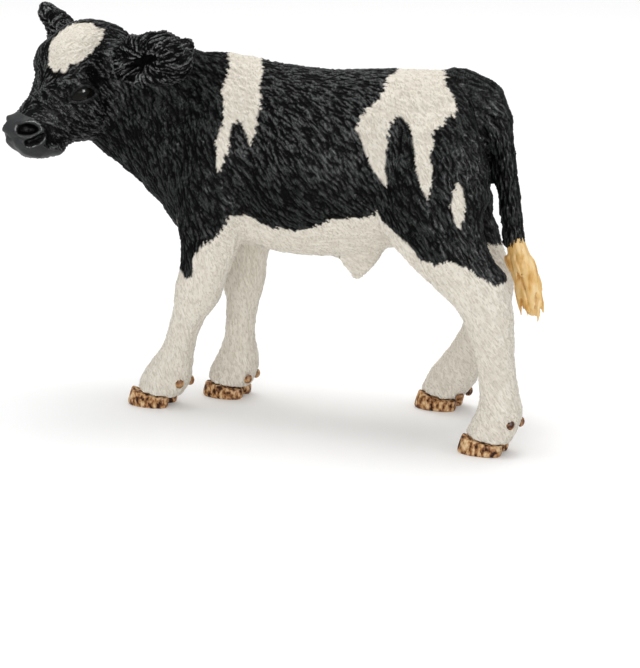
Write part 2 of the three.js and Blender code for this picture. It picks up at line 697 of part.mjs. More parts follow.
let trunk = torso
  .subtract(halfSpace(neckRoot.clone().addScaledVector(neckRootDirection, -jointGap / 2), neckRootDirection))
  .add(tuft);
for (const { whole, joint } of builtLegs) {
  const above = whole.subtract(halfSpace(gapBehind(joint.at, joint.upward), joint.upward.clone().negate()));
  trunk = trunk.add(above);
}
const grownTail = loft(tailStations, tailSideCount, [], jointGap);
trunk = trunk.subtract(grownTail).subtract(neckSocket);
for (const { grown } of builtEars) trunk = trunk.subtract(grown);
for (const { joint } of builtLegs) {
  trunk = trunk.subtract(peg(joint.at, joint.upward, legPegRadius + jointGap, legPegLength + socketDepthGap));
}

let neck = torso
  .subtract(halfSpace(gapBehind(neckRoot, neckRootDirection), neckRootDirection.clone().negate()))
  .subtract(halfSpace(neckEnd.clone().addScaledVector(neckDirection, -jointGap / 2), neckDirection))
  .add(neckPeg)
  .subtract(headSocket)
  .subtract(grownHead);
for (const { grown } of builtEars) neck = neck.subtract(grown);

let head = headLoft
  .add(torso.subtract(halfSpace(gapBehind(neckEnd, neckDirection), neckDirection.clone().negate())));
head = head.add(headPeg);
for (const cut of headCuts()) head = head.subtract(cut);
for (const { root, direction } of builtEars) {
  const mouth = root.clone().addScaledVector(direction, earPegShare * earLength);
  head = head.subtract(peg(mouth, direction.clone().negate(),
    smallPegRadius + jointGap, smallPegLength + socketDepthGap + earPegShare * earLength));
}

const tail = tailLoft.subtract(halfSpace(tailEnd, up.clone().negate())).subtract(switchPegHole);

// Materials
const paint = (color, roughness) => new THREE.MeshStandardMaterial({ color, roughness, metalness: 0 });
const blackCoat = paint(0x242627, 0.55);
const whiteCoat = paint(0xe6dfd2, 0.6);
const horn = paint(0x9b6d46, 0.5);
const tailHair = paint(0xd6b47a, 0.55);
const eyeBlack = paint(0x0b0c0d, 0.1);

const calf = new THREE.Group();
function add(name, solid, material) {
  const mesh = new THREE.Mesh(toGeometry(solid), material);
  mesh.name = name;
  calf.add(mesh);
}

add('trunk', trunk, blackCoat);
add('neck', neck, blackCoat);
add('head', head, blackCoat);
for (const { name, solid } of builtEars) add(name, solid, blackCoat);
for (const [name, sign] of [['eye_left', 1], ['eye_right', -1]]) {
  add(name, ball(eyeCentre(sign), eyeRadius, eyeSideCount), eyeBlack);
}
for (const { leg, limb, claws, dewclaws } of builtLegs) {
  add(leg.name, limb, whiteCoat);
  for (const { side, solid } of claws) add(`${leg.foot}_${sideName(leg, side)}_claw`, solid, horn);
  for (const { side, solid } of dewclaws) add(`${leg.foot}_${sideName(leg, side)}_dewclaw`, solid, horn);
}
add('tail', tail, blackCoat);
add('tail_switch', switchSolid, tailHair);

// Side 1 is towards +Y, the calf's right, so it is the inner side of a left foot.
function sideName(leg, side) {
  return side === leg.sign ? 'inner' : 'outer';
}

// The origin is on the ground, under the middle of the figure's box.
const box = new THREE.Box3().setFromObject(calf);
calf.position.set(-(box.min.x + box.max.x) / 2, -(box.min.y + box.max.y) / 2, -box.min.z);

export default calf;
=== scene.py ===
# A moulded toy calf: the carved and painted surface of the figure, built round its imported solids.
# Lengths are in millimetres and become metres where a mesh is written.
import json
import math

import bpy
import numpy as np
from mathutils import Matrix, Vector
from mathutils.bvhtree import BVHTree
from mathutils.kdtree import KDTree

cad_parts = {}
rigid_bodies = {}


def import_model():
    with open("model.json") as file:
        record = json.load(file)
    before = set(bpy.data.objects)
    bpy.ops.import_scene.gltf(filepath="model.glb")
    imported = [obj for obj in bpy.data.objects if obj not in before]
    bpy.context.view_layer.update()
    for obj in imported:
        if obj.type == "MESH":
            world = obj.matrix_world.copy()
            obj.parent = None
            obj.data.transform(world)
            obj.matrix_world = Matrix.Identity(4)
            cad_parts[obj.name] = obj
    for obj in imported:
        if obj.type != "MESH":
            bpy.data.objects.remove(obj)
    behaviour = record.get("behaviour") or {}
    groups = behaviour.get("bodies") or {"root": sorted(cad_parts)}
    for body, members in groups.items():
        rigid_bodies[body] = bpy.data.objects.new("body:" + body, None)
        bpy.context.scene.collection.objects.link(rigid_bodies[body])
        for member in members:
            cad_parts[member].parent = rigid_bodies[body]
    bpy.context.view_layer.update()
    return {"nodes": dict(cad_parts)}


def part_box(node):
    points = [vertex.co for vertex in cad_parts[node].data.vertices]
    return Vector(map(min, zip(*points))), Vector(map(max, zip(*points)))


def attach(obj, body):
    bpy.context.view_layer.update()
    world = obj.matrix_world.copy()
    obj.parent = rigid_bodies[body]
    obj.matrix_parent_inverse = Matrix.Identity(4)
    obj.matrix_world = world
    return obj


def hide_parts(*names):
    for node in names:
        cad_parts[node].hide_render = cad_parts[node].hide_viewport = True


def clear_defaults():
    for thing in list(bpy.data.objects):
        if thing.name in ("Cube", "Light", "Camera"):
            bpy.data.objects.remove(thing)


clear_defaults()
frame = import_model()

MM = 0.001
rng = np.random.default_rng(7)

# Camera: where it looks from, in degrees, and the point in the middle of its picture
CAMERA_AZIMUTH = 22.0
CAMERA_ELEVATION = 15.5
CAMERA_DISTANCE = 350.0
CAMERA_AIM = (5.88, 5.37, 10.96)
PICTURE_WIDTH_PX = 640
PICTURE_HEIGHT_PX = 668
FOCAL_LENGTH_PX = 2415.0
SENSOR_MM = 36.0
CAMERA_REACH = (0.01, 10)  # metres

# Skin mesh
SEAM_FILL = 0.26  # how far each solid is grown so that the seams between them close
SEAM_FILLS = {"ear_left": 0.45, "tail": 0.34}  # thin solids, which lose more to the smoothing
VOXEL = 0.37
SMOOTHING_ROUNDS = 26
SMOOTHING_WEIGHTS = {"ear_left": 0.15, "ear_right": 0.15, "head": 0.35}  # the next is for the others
SMOOTHING_WEIGHT = 0.5
WEIGHT_ROUNDS = 3
FOOT_WEIGHT = 0.08  # the smoothing near the hooves, where a leg keeps its width
FOOT_HEIGHT = 3.4
SETTLE_ROUNDS = 25
SETTLE_LIMIT = 0.35

# Nodes of the frame; the skin nodes are one continuous skin
EAR_NODES = ["ear_left", "ear_right"]
EYE_NODES = ["eye_left", "eye_right"]
LEG_NODES = ["foreleg_left", "foreleg_right", "hind_leg_left", "hind_leg_right"]
SKIN_NODES = ["trunk", "neck", "head", *EAR_NODES, "tail", *LEG_NODES]
FEET = ["front_left", "front_right", "hind_left", "hind_right"]
TRUNK_SPLIT = 10.5  # the x where the skin of the trunk is parted into two pieces

# Carved hair: length and half width of a lock, depth of its groove, and the distance between locks
LOCKS = {
    "trunk": (1.5, 0.22, 0.36, 0.52),
    "neck": (1.6, 0.22, 0.38, 0.54),
    "head": (0.9, 0.17, 0.26, 0.39),
    "ear_left": (1.7, 0.22, 0.46, 0.50),
    "ear_right": (1.7, 0.22, 0.36, 0.50),
    "tail": (1.9, 0.22, 0.34, 0.54),
    **dict.fromkeys(LEG_NODES, (1.2, 0.19, 0.24, 0.45)),
}
LOCK_PROUD = 0.5  # the share of a lock's depth that stands out of the plain surface
LOCKS_NEAR = 12  # how many locks are weighed at each point of the skin
LENGTH_SPREAD = 0.3  # how far the locks differ from each other
WIDTH_SPREAD = 0.2
LEAST_LIFT = 0.7
BEND_SPREAD = 0.10
SWING_SPREAD = 0.20
CREST_POWER = 1.8
TIP_SHIFT = 0.08  # how far behind its middle a lock is widest
LOCK_RISE = (0.66, 0.68)  # how high a lock stands at its middle, and how much higher over its length
BARE_ENOUGH = 0.95  # the smoothness from which the skin has no locks

# The fine hairs between the locks: their steps in mm, how many, and their share of the height
COMB_STRIDE = 0.26
COMB_STEPS = 2
COMB_SHARE = 0.5
COMB_OWN_WEIGHT = 0.4
COMB_NEAR_WEIGHT = 1.2
COMB_SPREAD = 1.1

# Head: how it is turned, in degrees
HEAD_TURN = 62.0
HEAD_PITCH = 34.0
HEAD_TILT = 7.0
EYES_ALONG = 7.92  # from the poll to the line through the eyes
EYES_BELOW = 3.77
EAR_CANAL = (-0.2, 9.4, -3.6)  # in the head's frame: along, across and above
EAR_ROOTS = [(0.5, 5.0, -4.0), (0.5, -5.0, -4.0)]
EAR_ROOT_RADIUS = 2.2
CANAL_FORM = (0.55, 1.15, 0.75, 0.55, -0.3, 0.5)  # as the forms of the openings of the face
EAR_LEAST_LIGHT = 0.35  # painted light: how light the locks are at the rim of the ear, against those round the hollow


def unit(v):
    v = np.asarray(v, float)
    return v / np.maximum(np.linalg.norm(v, axis=-1, keepdims=True), 1e-9)


def dot(a, b):
    return np.sum(a * b, axis=-1)


def smoothstep(low, high, value):
    t = np.clip((value - low) / (high - low), 0, 1)
    return t * t * (3 - 2 * t)


def bell(distance, width):
    """1 at no distance, fading to 0 over a few widths."""
    return np.exp(-(distance / width) ** 2)


def is_of(owners, *names):
    """Whether each owner is one of the skin nodes named."""
    return np.isin(owners, [SKIN_NODES.index(name) for name in names])


def node_middle(name):
    low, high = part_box(name)
    return np.array((low + high) / 2) / MM


def turned(vector, axis, degrees):
    """A vector turned round a unit axis."""
    angle = math.radians(degrees)
    vector, axis = np.asarray(vector, float), np.asarray(axis, float)
    across = np.cross(axis, vector)
    along = axis * np.dot(axis, vector)
    return along + (vector - along) * math.cos(angle) + across * math.sin(angle)


# The photograph's camera
azimuth = math.radians(CAMERA_AZIMUTH)
elevation = math.radians(CAMERA_ELEVATION)
TO_CAMERA = np.array([
    math.sin(azimuth) * math.cos(elevation),
    -math.cos(azimuth) * math.cos(elevation),
    math.sin(elevation),
])
PICTURE_RIGHT = np.array([math.cos(azimuth), math.sin(azimuth), 0.0])
PICTURE_UP = np.cross(TO_CAMERA, PICTURE_RIGHT)
CAMERA_PLACE = np.array(CAMERA_AIM) + TO_CAMERA * CAMERA_DISTANCE


def to_picture(points):
    """Where points, in mm, fall in the picture, in pixels."""
    seen = points - CAMERA_PLACE
    scale = FOCAL_LENGTH_PX / -dot(seen, TO_CAMERA)
    across = PICTURE_WIDTH_PX / 2 + scale * dot(seen, PICTURE_RIGHT)
    down = PICTURE_HEIGHT_PX / 2 - scale * dot(seen, PICTURE_UP)
    return np.stack([across, down], axis=-1)


def new_object(name, data):
    thing = bpy.data.objects.new(name, data)
    bpy.context.scene.collection.objects.link(thing)
    return thing


def aim(thing, place, way):
    thing.location = place
    thing.rotation_mode = "QUATERNION"
    thing.rotation_quaternion = way.to_track_quat("-Z", "Y")


def make_camera():
    data = bpy.data.cameras.new("camera")
    data.sensor_width = SENSOR_MM
    data.lens = FOCAL_LENGTH_PX * SENSOR_MM / max(PICTURE_WIDTH_PX, PICTURE_HEIGHT_PX)
    data.clip_start, data.clip_end = CAMERA_REACH
    camera = new_object("camera", data)
    aim(camera, Vector(CAMERA_PLACE) * MM, -Vector(TO_CAMERA))
    bpy.context.scene.camera = camera


# The head's own frame: along the face, to its left, and up out of the forehead
EYES_MIDDLE = (node_middle("eye_left") + node_middle("eye_right")) / 2
AHEAD = turned((-1, 0, 0), (0, 0, 1), HEAD_TURN)
LEVEL = turned((0, -1, 0), (0, 0, 1), HEAD_TURN)
NOSE = turned(AHEAD, LEVEL, HEAD_PITCH)
CHEEK = turned(LEVEL, NOSE, -HEAD_TILT)
BROW = np.cross(NOSE, CHEEK)
POLL = EYES_MIDDLE - NOSE * EYES_ALONG + BROW * EYES_BELOW
HEAD_AXES = np.stack([NOSE, CHEEK, BROW])


def in_head(points):
    """Points in the head's frame: mm along the face from the poll, to its left, and above."""
    return (points - POLL) @ HEAD_AXES.T


def from_head(places):
    return np.asarray(places, float) @ HEAD_AXES + POLL


# Meshes as arrays of points in mm and lists of faces
def mesh_from(points, faces, name):
    """A mesh from points in mm and a list of face arrays, each with its own number of corners."""
    arrays = [array for array in (faces if isinstance(faces, list) else [faces]) if len(array)]
    sizes = np.concatenate([np.full(len(array), array.shape[1]) for array in arrays])
    corners = np.concatenate([array.ravel() for array in arrays])
    mesh = bpy.data.meshes.new(name)
    mesh.vertices.add(len(points))
    mesh.vertices.foreach_set("co", (np.asarray(points) * MM).astype(np.float32).ravel())
    mesh.loops.add(len(corners))
    mesh.loops.foreach_set("vertex_index", corners.astype(np.int32))
    mesh.polygons.add(len(sizes))
    mesh.polygons.foreach_set("loop_start", (np.cumsum(sizes) - sizes).astype(np.int32))
    mesh.update(calc_edges=True)
    return mesh


def joined(parts):
    """Several meshes as one, each of them a pair of points and faces."""
    starts = np.cumsum([0, *(len(points) for points, _ in parts)])
    faces = [faces + start for (_, faces), start in zip(parts, starts)]
    return np.concatenate([points for points, _ in parts]), np.concatenate(faces)


def read(collection, key, kind, width=1):
    """A value of each member of a Blender collection, as one flat array."""
    flat = np.empty(len(collection) * width, kind)
    collection.foreach_get(key, flat)
    return flat


def points_of(mesh):
    return read(mesh.vertices, "co", np.float32, 3).reshape(-1, 3).astype(float) / MM


def quads_of(mesh):
    return read(mesh.loops, "vertex_index", np.int32).reshape(-1, 4)


def modified(mesh, kind, settings):
    """A copy of a mesh with one modifier applied."""
    holder = new_object(mesh.name, mesh)
    modifier = holder.modifiers.new(mesh.name, kind)
    for key, value in settings.items():
        setattr(modifier, key, value)
    graph = bpy.context.evaluated_depsgraph_get()
    result = bpy.data.meshes.new_from_object(holder.evaluated_get(graph))
    bpy.data.objects.remove(holder)
    return result


def remeshed(points, faces, voxel):
    """One closed shell round meshes that overlap."""
    mesh = mesh_from(points, faces, "solids")
    result = modified(mesh, "REMESH", {"mode": "VOXEL", "voxel_size": voxel * MM})
    return largest_shell(points_of(result), quads_of(result))


def face_normals(points, quads):
    a, b, c, d = (points[quads[:, i]] for i in range(4))
    return np.cross(c - a, d - b)


def vertex_normals(points, quads):
    normals = face_normals(points, quads)
    total = np.zeros_like(points)
    for axis in range(3):
        for corner in range(4):
            total[:, axis] += np.bincount(quads[:, corner], normals[:, axis], len(points))
    return unit(total)


def raised(points, normals, height):
    return points + normals * height[:, None]


def edges_of(quads):
    return np.concatenate([quads[:, [i, (i + 1) % 4]] for i in range(4)])


class Neighbours:
    """Averages a value over the neighbours of each vertex."""

    def __init__(self, count, quads):
        edges = np.sort(edges_of(quads), axis=1)
        keys = np.unique(edges[:, 0].astype(np.int64) * count + edges[:, 1])
        self.a, self.b = keys // count, keys % count
        self.count = count
        self.degree = np.bincount(self.a, minlength=count) + np.bincount(self.b, minlength=count)

    def average(self, values):
        columns = values.reshape(self.count, -1)
        total = np.stack([
            np.bincount(self.a, column[self.b], self.count) + np.bincount(self.b, column[self.a], self.count)
            for column in columns.T
        ], axis=1)
        return (total / self.degree[:, None]).reshape(values.shape)

    def smooth(self, values, rounds, weight=0.5):
        for _ in range(rounds):
            values = values + weight * (self.average(values) - values)
        return values


def cad_solids(names, grow=0.0, grows={}):
    """CAD solids as one mesh, each grown along its own normals, and the node of each face."""
    parts, owners = [], []
    for owner, name in enumerate(names):
        mesh = frame["nodes"][name].data
        own = points_of(mesh)
        triangles = read(mesh.loop_triangles, "vertices", np.int32, 3)
        _, first, merged = np.unique(np.round(own, 4), axis=0, return_index=True, return_inverse=True)
        own = own[first]
        triangles = merged.ravel()[triangles].reshape(-1, 3)
        a, b, c = (own[triangles[:, i]] for i in range(3))
        normals = unit(np.cross(b - a, c - a))
        total = np.zeros_like(own)
        for corner in range(3):
            np.add.at(total, triangles[:, corner], normals)
        parts.append((own + unit(total) * grows.get(name, grow), triangles))
        owners.append(np.full(len(triangles), owner))
    return (*joined(parts), np.concatenate(owners))


def largest_shell(points, quads):
    """The shell of a mesh that has the most points."""
    label = np.arange(len(points))
    edges = edges_of(quads)
    while True:
        low = np.minimum(label[edges[:, 0]], label[edges[:, 1]])
        new = label.copy()
        np.minimum.at(new, edges[:, 0], low)
        np.minimum.at(new, edges[:, 1], low)
        new = new[new]
        if np.array_equal(new, label):
            break
        label = new
    names, sizes = np.unique(label, return_counts=True)
    kept = label == names[np.argmax(sizes)]
    renumber = np.cumsum(kept) - 1
    return points[kept], renumber[quads[kept[quads[:, 0]]]]


def nearest_node(points):
    """The nearest point of the CAD surface to each point, and its node."""
    solids, faces, owners = cad_solids(SKIN_NODES + EYE_NODES)
    tree = BVHTree.FromPolygons(solids.tolist(), faces.tolist())
    found = [tree.find_nearest(Vector(p)) for p in points.tolist()]
    places = np.array([f[0] for f in found])
    nodes = owners[np.array([f[2] for f in found])]
    return places, nodes


# Small corrections of the outline: where in the picture, over how many pixels, and mm across and up
PICTURE_MOVES = [
    ((37, 10), 6, (0.6, 0)), ((38, 23), 8, (0.7, 0)), ((46, 30), 7, (0.95, 0)), ((56, 6), 7, (0, -0.3)),
    ((7, 117), 5, (-0.35, 0.3)), ((5, 125), 6, (-0.4, 0)), ((3, 137), 4, (0.4, 0)),
    ((8, 144), 5, (-0.3, 0)), ((16, 152), 5, (0.3, 0.15)), ((24, 104), 8, (-0.25, 0.3)),
    ((35, 76), 14, (0.4, 0)), ((8, 146), 7, (0.35, 0.25)), ((60, 151), 6, (0.1, -0.5)),
    ((87, 139), 8, (0, -0.4)), ((138, 33), 6, (0, -0.35)), ((130, 38), 8, (0, 0.4)),
    ((128, 172), 9, (-0.35, -0.1)), ((189, 44), 10, (0.95, 0.85)), ((168, 33), 8, (0, 0.35)),
    ((300, 67), 22, (0, 0.14)), ((330, 69), 22, (0, 0.14)), ((360, 70), 22, (0, 0.14)),
    ((386, 69), 20, (0, 0.14)), ((450, 71), 10, (0, 0.3)), ((168, 214), 14, (0.35, 0)),
    ((181, 240), 14, (0.35, 0)), ((497, 90), 13, (0.6, 0.25)), ((512, 116), 10, (0.35, 0)),
    ((158, 203), 10, (0.3, 0.3)), ((485, 200), 11, (0.6, 0)), ((504, 273), 9, (0.75, 0.1)),
    ((492, 226), 9, (0.35, 0)), ((40, 157), 9, (0, 0.15)), ((500, 110), 7, (0.3, 0)),
    ((131, 170), 6, (0.2, 0)), ((152, 110), 8, (-0.25, 0)),
]


BALL_RINGS = 9
BALL_SIDES = 14
BALL_CAP = 0.15  # the angle at its two ends that a ball leaves flat


def ball(middle, radius):
    turns = np.linspace(BALL_CAP, math.pi - BALL_CAP, BALL_RINGS)
    path = middle + np.outer(-np.cos(turns) * radius, (0, 0, 1))
    return tube(path, np.sin(turns) * radius, BALL_SIDES)


def make_skin():
    """One smooth closed mesh round the skin nodes: points, quads and the node of each quad."""
    solids, faces, _ = cad_solids(SKIN_NODES + EYE_NODES, SEAM_FILL, SEAM_FILLS)
    roots = [ball(from_head(place), EAR_ROOT_RADIUS) for place in EAR_ROOTS]
    points, quads = remeshed(*joined([(solids, faces), *roots]), VOXEL)
    around = Neighbours(len(points), quads)
    _, nodes = nearest_node(points)
    weights = np.full(len(points), SMOOTHING_WEIGHT)
    for name, weight in SMOOTHING_WEIGHTS.items():
        weights[is_of(nodes, name)] = weight
    weights = np.where(points[:, 2] < FOOT_HEIGHT, FOOT_WEIGHT, weights)
    weights = around.smooth(weights, WEIGHT_ROUNDS)
    points = around.smooth(points, SMOOTHING_ROUNDS, weights[:, None])
    # Settle the smoothed mesh back on the CAD surface
    places, _ = nearest_node(points)
    normals = vertex_normals(points, quads)
    height = np.clip(dot(points - places, normals), -SETTLE_LIMIT, SETTLE_LIMIT)
    points = raised(points, normals, -around.smooth(height, SETTLE_ROUNDS))
    _, nodes = nearest_node(points[quads].mean(axis=1))
    seen = to_picture(points)
    for place, radius, (across, up) in PICTURE_MOVES:
        share = bell(np.linalg.norm(seen - place, axis=1), radius)[:, None]
        points = points + share * (PICTURE_RIGHT * across + PICTURE_UP * up)
    nodes[nodes >= len(SKIN_NODES)] = SKIN_NODES.index("head")
    return points, quads, nodes


def subdivided(points, quads, nodes):
    mesh = mesh_from(points, quads, "skin")
    mesh.attributes.new("node", "INT", "FACE").data.foreach_set("value", nodes.astype(np.int32))
    fine = modified(mesh, "SUBSURF", {"levels": 1, "render_levels": 1})
    return points_of(fine), quads_of(fine), read(fine.attributes["node"].data, "value", np.int32)


def node_of_vertex(count, quads, nodes):
    owner = np.zeros(count, np.int32)
    for corner in range(4):
        owner[quads[:, corner]] = nodes
    return owner


# Hair flow: places on the calf and the way the hair lies there, from the side: x, z, and degrees
# below the level, towards the tail
SIDE_FLOW = [
    (-20, 45, 66), (-14, 50, 50), (-14, 42, 66), (-16, 34, 76), (-8, 48, 45), (-6, 40, 60), (-8, 30, 66),
    (2, 49, 20), (4, 42, 48), (2, 34, 50), (0, 27, 25), (12, 49, 20), (12, 42, 50), (12, 34, 42),
    (12, 27, 15), (20, 49, 25), (22, 43, 62), (20, 36, 64), (20, 30, 50), (28, 46, 50), (28, 40, 66),
    (27, 33, 66), (30, 27, 56), (33, 22, 52), (34, 15, 50), (34, 8, 55), (34, 3, 72), (26, 22, 56),
    (27, 14, 60), (22, 6, 75), (-11, 26, 80), (-14, 20, 74), (-15, 14, 70), (-18, 8, 74), (-21, 3, 86),
    (-6, 22, 78), (-9, 14, 75), (-11, 6, 80), (-18, 26, 84), (-18, 20, 80),
]
FLOW_REACH = 3.5  # mm over which one place's direction fades into the next


def side_direction(points):
    places = np.array([(x, z) for x, z, _ in SIDE_FLOW], float)
    angles = np.radians([angle for _, _, angle in SIDE_FLOW])
    ways = np.stack([np.cos(angles), np.zeros(len(angles)), -np.sin(angles)], axis=1)
    flat = points[:, [0, 2]]
    distance = np.linalg.norm(flat[:, None] - places, axis=-1)
    weight = np.exp(-((distance - distance.min(axis=1, keepdims=True)) / FLOW_REACH)) / (distance + 1)
    return unit(weight @ ways)


HEAD_TOP = (-2.5, 0.5)  # above the poll: where the hair of the cheek ends and that of the forehead starts
CHEEK_BACK = 0.35  # how far back the hair of the cheek lies for each mm down
FOREHEAD_BACK = 0.75  # how much further back that of the forehead lies, less far down, and to the side
FOREHEAD_RISE = 0.8
FOREHEAD_SPREAD = 0.25


def head_direction(points):
    _, across, above = in_head(points).T
    top = smoothstep(*HEAD_TOP, above)
    back = CHEEK_BACK + FOREHEAD_BACK * top
    down = 1.0 - FOREHEAD_RISE * top
    side = np.sign(across) * FOREHEAD_SPREAD * top
    return unit(-back[:, None] * NOSE - down[:, None] * BROW + side[:, None] * CHEEK)


TAIL_BEND = (49, 40)  # the heights between which the tail turns downward
TAIL_ROOT_WAY = np.array((1, 0, -0.35))
TAIL_LOW_WAY = np.array((0.15, 0, -1))


def tail_direction(points):
    drop = smoothstep(*TAIL_BEND, points[:, 2])
    return unit(TAIL_ROOT_WAY + drop[:, None] * (TAIL_LOW_WAY - TAIL_ROOT_WAY))


def on_skin(ways, normals):
    """Ways turned into the plane of the skin."""
    return unit(ways - normals * dot(ways, normals)[:, None])


def flow(points, owners):
    """The way the hair lies at each point."""
    ways = side_direction(points)
    head = is_of(owners, "head")
    ways[head] = head_direction(points[head])
    for name in EAR_NODES:
        here = is_of(owners, name)
        ways[here] = unit(points[here] - ear_canal(name))
    tail = is_of(owners, "tail")
    ways[tail] = tail_direction(points[tail])
    return ways


def ear_canal(name):
    along, across, above = EAR_CANAL
    return from_head((along, across if name == "ear_left" else -across, above))


def scattered(points, spacing):
    """Points drawn at random, none nearer to another than the spacing."""
    taken = {}
    chosen = []
    cells = np.floor(points / spacing).astype(int).tolist()
    places = points.tolist()
    nearby = [(i, j, k) for i in (-1, 0, 1) for j in (-1, 0, 1) for k in (-1, 0, 1)]
    for index in rng.permutation(len(points)).tolist():
        a, b, c = cells[index]
        x, y, z = places[index]
        for i, j, k in nearby:
            other = taken.get((a + i, b + j, c + k))
            if other and (other[0] - x) ** 2 + (other[1] - y) ** 2 + (other[2] - z) ** 2 < spacing ** 2:
                break
        else:
            taken[a, b, c] = (x, y, z)
            chosen.append(index)
    return np.sort(chosen)


def search_tree(points):
    tree = KDTree(len(points))
    for index, place in enumerate(points.tolist()):
        tree.insert(place, index)
    tree.balance()
    return tree


def combed(points, ways, around):
    """Fine hairs: random heights, from 0 to 1, drawn out along the way the hair lies."""
    tree = search_tree(points)
    heights = rng.normal(size=len(points))
    heights = heights * COMB_OWN_WEIGHT + around.average(heights) * COMB_NEAR_WEIGHT
    total = heights.copy()
    for sign in (1, -1):
        places = (points + ways * (sign * COMB_STRIDE)).tolist()
        following = np.array([tree.find(place)[1] for place in places])
        here = following
        for _ in range(COMB_STEPS):
            total += heights[here]
            here = following[here]
    return smoothstep(-COMB_SPREAD, COMB_SPREAD, total / total.std())


class Locks:
    """Short carved locks of hair scattered over the skin."""

    def __init__(self, points, normals, owners, smoothness):
        sizes = np.array([LOCKS[name] for name in SKIN_NODES])
        at = []
        for index in range(len(SKIN_NODES)):
            here = np.flatnonzero((owners == index) & (smoothness < BARE_ENOUGH))
            at.append(here[scattered(points[here], sizes[index, 3])])
        at = np.concatenate(at)
        self.places = points[at]
        count = len(at)
        size = sizes[owners[at]]
        self.length = size[:, 0] * rng.uniform(1 - LENGTH_SPREAD, 1 + LENGTH_SPREAD, count)
        self.half = size[:, 1] * rng.uniform(1 - WIDTH_SPREAD, 1 + WIDTH_SPREAD, count)
        self.depth = size[:, 2] * (1 - smoothness[at])
        self.lift = rng.uniform(LEAST_LIFT, 1.0, count)
        self.bend = rng.normal(0, BEND_SPREAD, count)
        normal = normals[at]
        way = on_skin(flow(self.places, owners[at]), normal)
        swing = rng.normal(0, SWING_SPREAD, count)
        side = np.cross(normal, way)
        self.way = unit(way * np.cos(swing)[:, None] + side * np.sin(swing)[:, None])
        self.side = np.cross(normal, self.way)
        self.tree = search_tree(self.places)

    def carve(self, points):
        """At each point: how high it stands on its lock, from 0 to 1, and which lock that is."""
        near = np.array([
            [index for _, index, _ in self.tree.find_n(place, LOCKS_NEAR)] for place in points.tolist()
        ])
        best = np.full(len(points), -1.0)
        owner = near[:, 0].copy()
        for column in near.T:
            away = points - self.places[column]
            along = dot(away, self.way[column]) / self.length[column]
            across = dot(away, self.side[column])
            across = across + self.bend[column] * (along * self.length[column]) ** 2
            # Widest behind the middle, tapering to a point at the tip
            taper = np.clip(1 - (2 * np.abs(along + TIP_SHIFT * (1 - 2 * along))) ** 2, 1e-4, 1)
            width = self.half[column] * np.sqrt(taper)
            crest = 1 - np.abs(across / width) ** CREST_POWER
            rise = self.lift[column] * (LOCK_RISE[0] + LOCK_RISE[1] * along)
            height = np.where((np.abs(along) < 0.5) & (crest > 0), crest * rise, -1.0)
            better = height > best
            best[better] = height[better]
            owner[better] = column[better]
        return np.clip(best, 0, 1), owner


PX_PER_MM = FOCAL_LENGTH_PX / CAMERA_DISTANCE


def to_line_distance(places, line):
    """How far each place lies from an open line."""
    line = np.asarray(line, float)
    distance = np.full(len(places), np.inf)
    for a, b in zip(line, line[1:]):
        edge = b - a
        share = np.clip((places - a) @ edge / (edge @ edge), 0, 1)
        distance = np.minimum(distance, np.linalg.norm(places - a - share[:, None] * edge, axis=1))
    return distance


def to_signed_distance(places, outline):
    """How far inside a closed outline each place lies; less than zero is outside."""
    outline = np.asarray([*outline, outline[0]], float)
    inside = np.zeros(len(places), bool)
    for a, b in zip(outline, outline[1:]):
        crosses = (a[1] > places[:, 1]) != (b[1] > places[:, 1])
        with np.errstate(divide="ignore", invalid="ignore"):
            at = a[0] + (places[:, 1] - a[1]) / (b[1] - a[1]) * (b[0] - a[0])
        inside ^= crosses & (places[:, 0] < at)
    return to_line_distance(places, outline) * np.where(inside, 1, -1)


def most_inside(places, *outlines):
    return np.maximum.reduce([to_signed_distance(places, outline) for outline in outlines])


# The left side of the face, in pixels of the picture; the right side is its mirror image
EYE_OPENING_PX = [
    (70.3, 98.6), (73, 94.5), (77, 90.8), (81, 88.4), (86, 87), (91, 87.8), (94.5, 90.5), (96.3, 93.6),
    (93, 96.8), (88.5, 99), (83, 100.8), (77.5, 101.6), (73, 100.8),
]
NOSTRIL_PX = [
    (15.5, 127), (17, 124.2), (22, 123.6), (28, 123.8), (34, 124.8), (38.5, 127), (39.8, 129.6), (37, 132),
    (31, 133.4), (24, 134), (18, 133.8), (15.6, 131),
]
MOUTH_PX = [
    (23.8, 142.5), (26.5, 139.5), (31, 138.6), (36, 136.2), (41, 133.6), (44.8, 132.8), (45.5, 136),
    (44, 139.5), (40, 143.5), (35, 145.5), (30, 147.6), (26, 146.5),
]
LIP_LINE_PX = [(26, 141.5), (19, 139), (14, 138), (4, 139.5), (-4, 141)]
LOWER_LIP_PX = [(14.5, 140), (16.5, 146), (20, 149.5), (25.5, 153), (33, 155.8), (40, 156.8)]
EAR_HOLE_PX = [
    (124, 70.5), (131, 64), (137, 58), (144, 55), (152, 53.5), (156.5, 56), (156, 61), (150, 65.5),
    (143, 67), (136, 68.5), (130, 71.5),
]
BROW_RIDGE_PX = [(66, 79), (72, 75), (80, 72), (90, 70.2), (101, 70)]
LID_FOLD_PX = [(67, 91), (73, 85.5), (81, 82), (90, 81), (99, 84), (103, 90)]
MUZZLE_PX = [
    (-20, 90), (10, 108), (19, 112), (30, 117), (38, 123), (43, 128), (45, 133), (46, 140), (44, 146),
    (50, 149), (60, 150), (64, 156), (60, 190), (-20, 190),
]


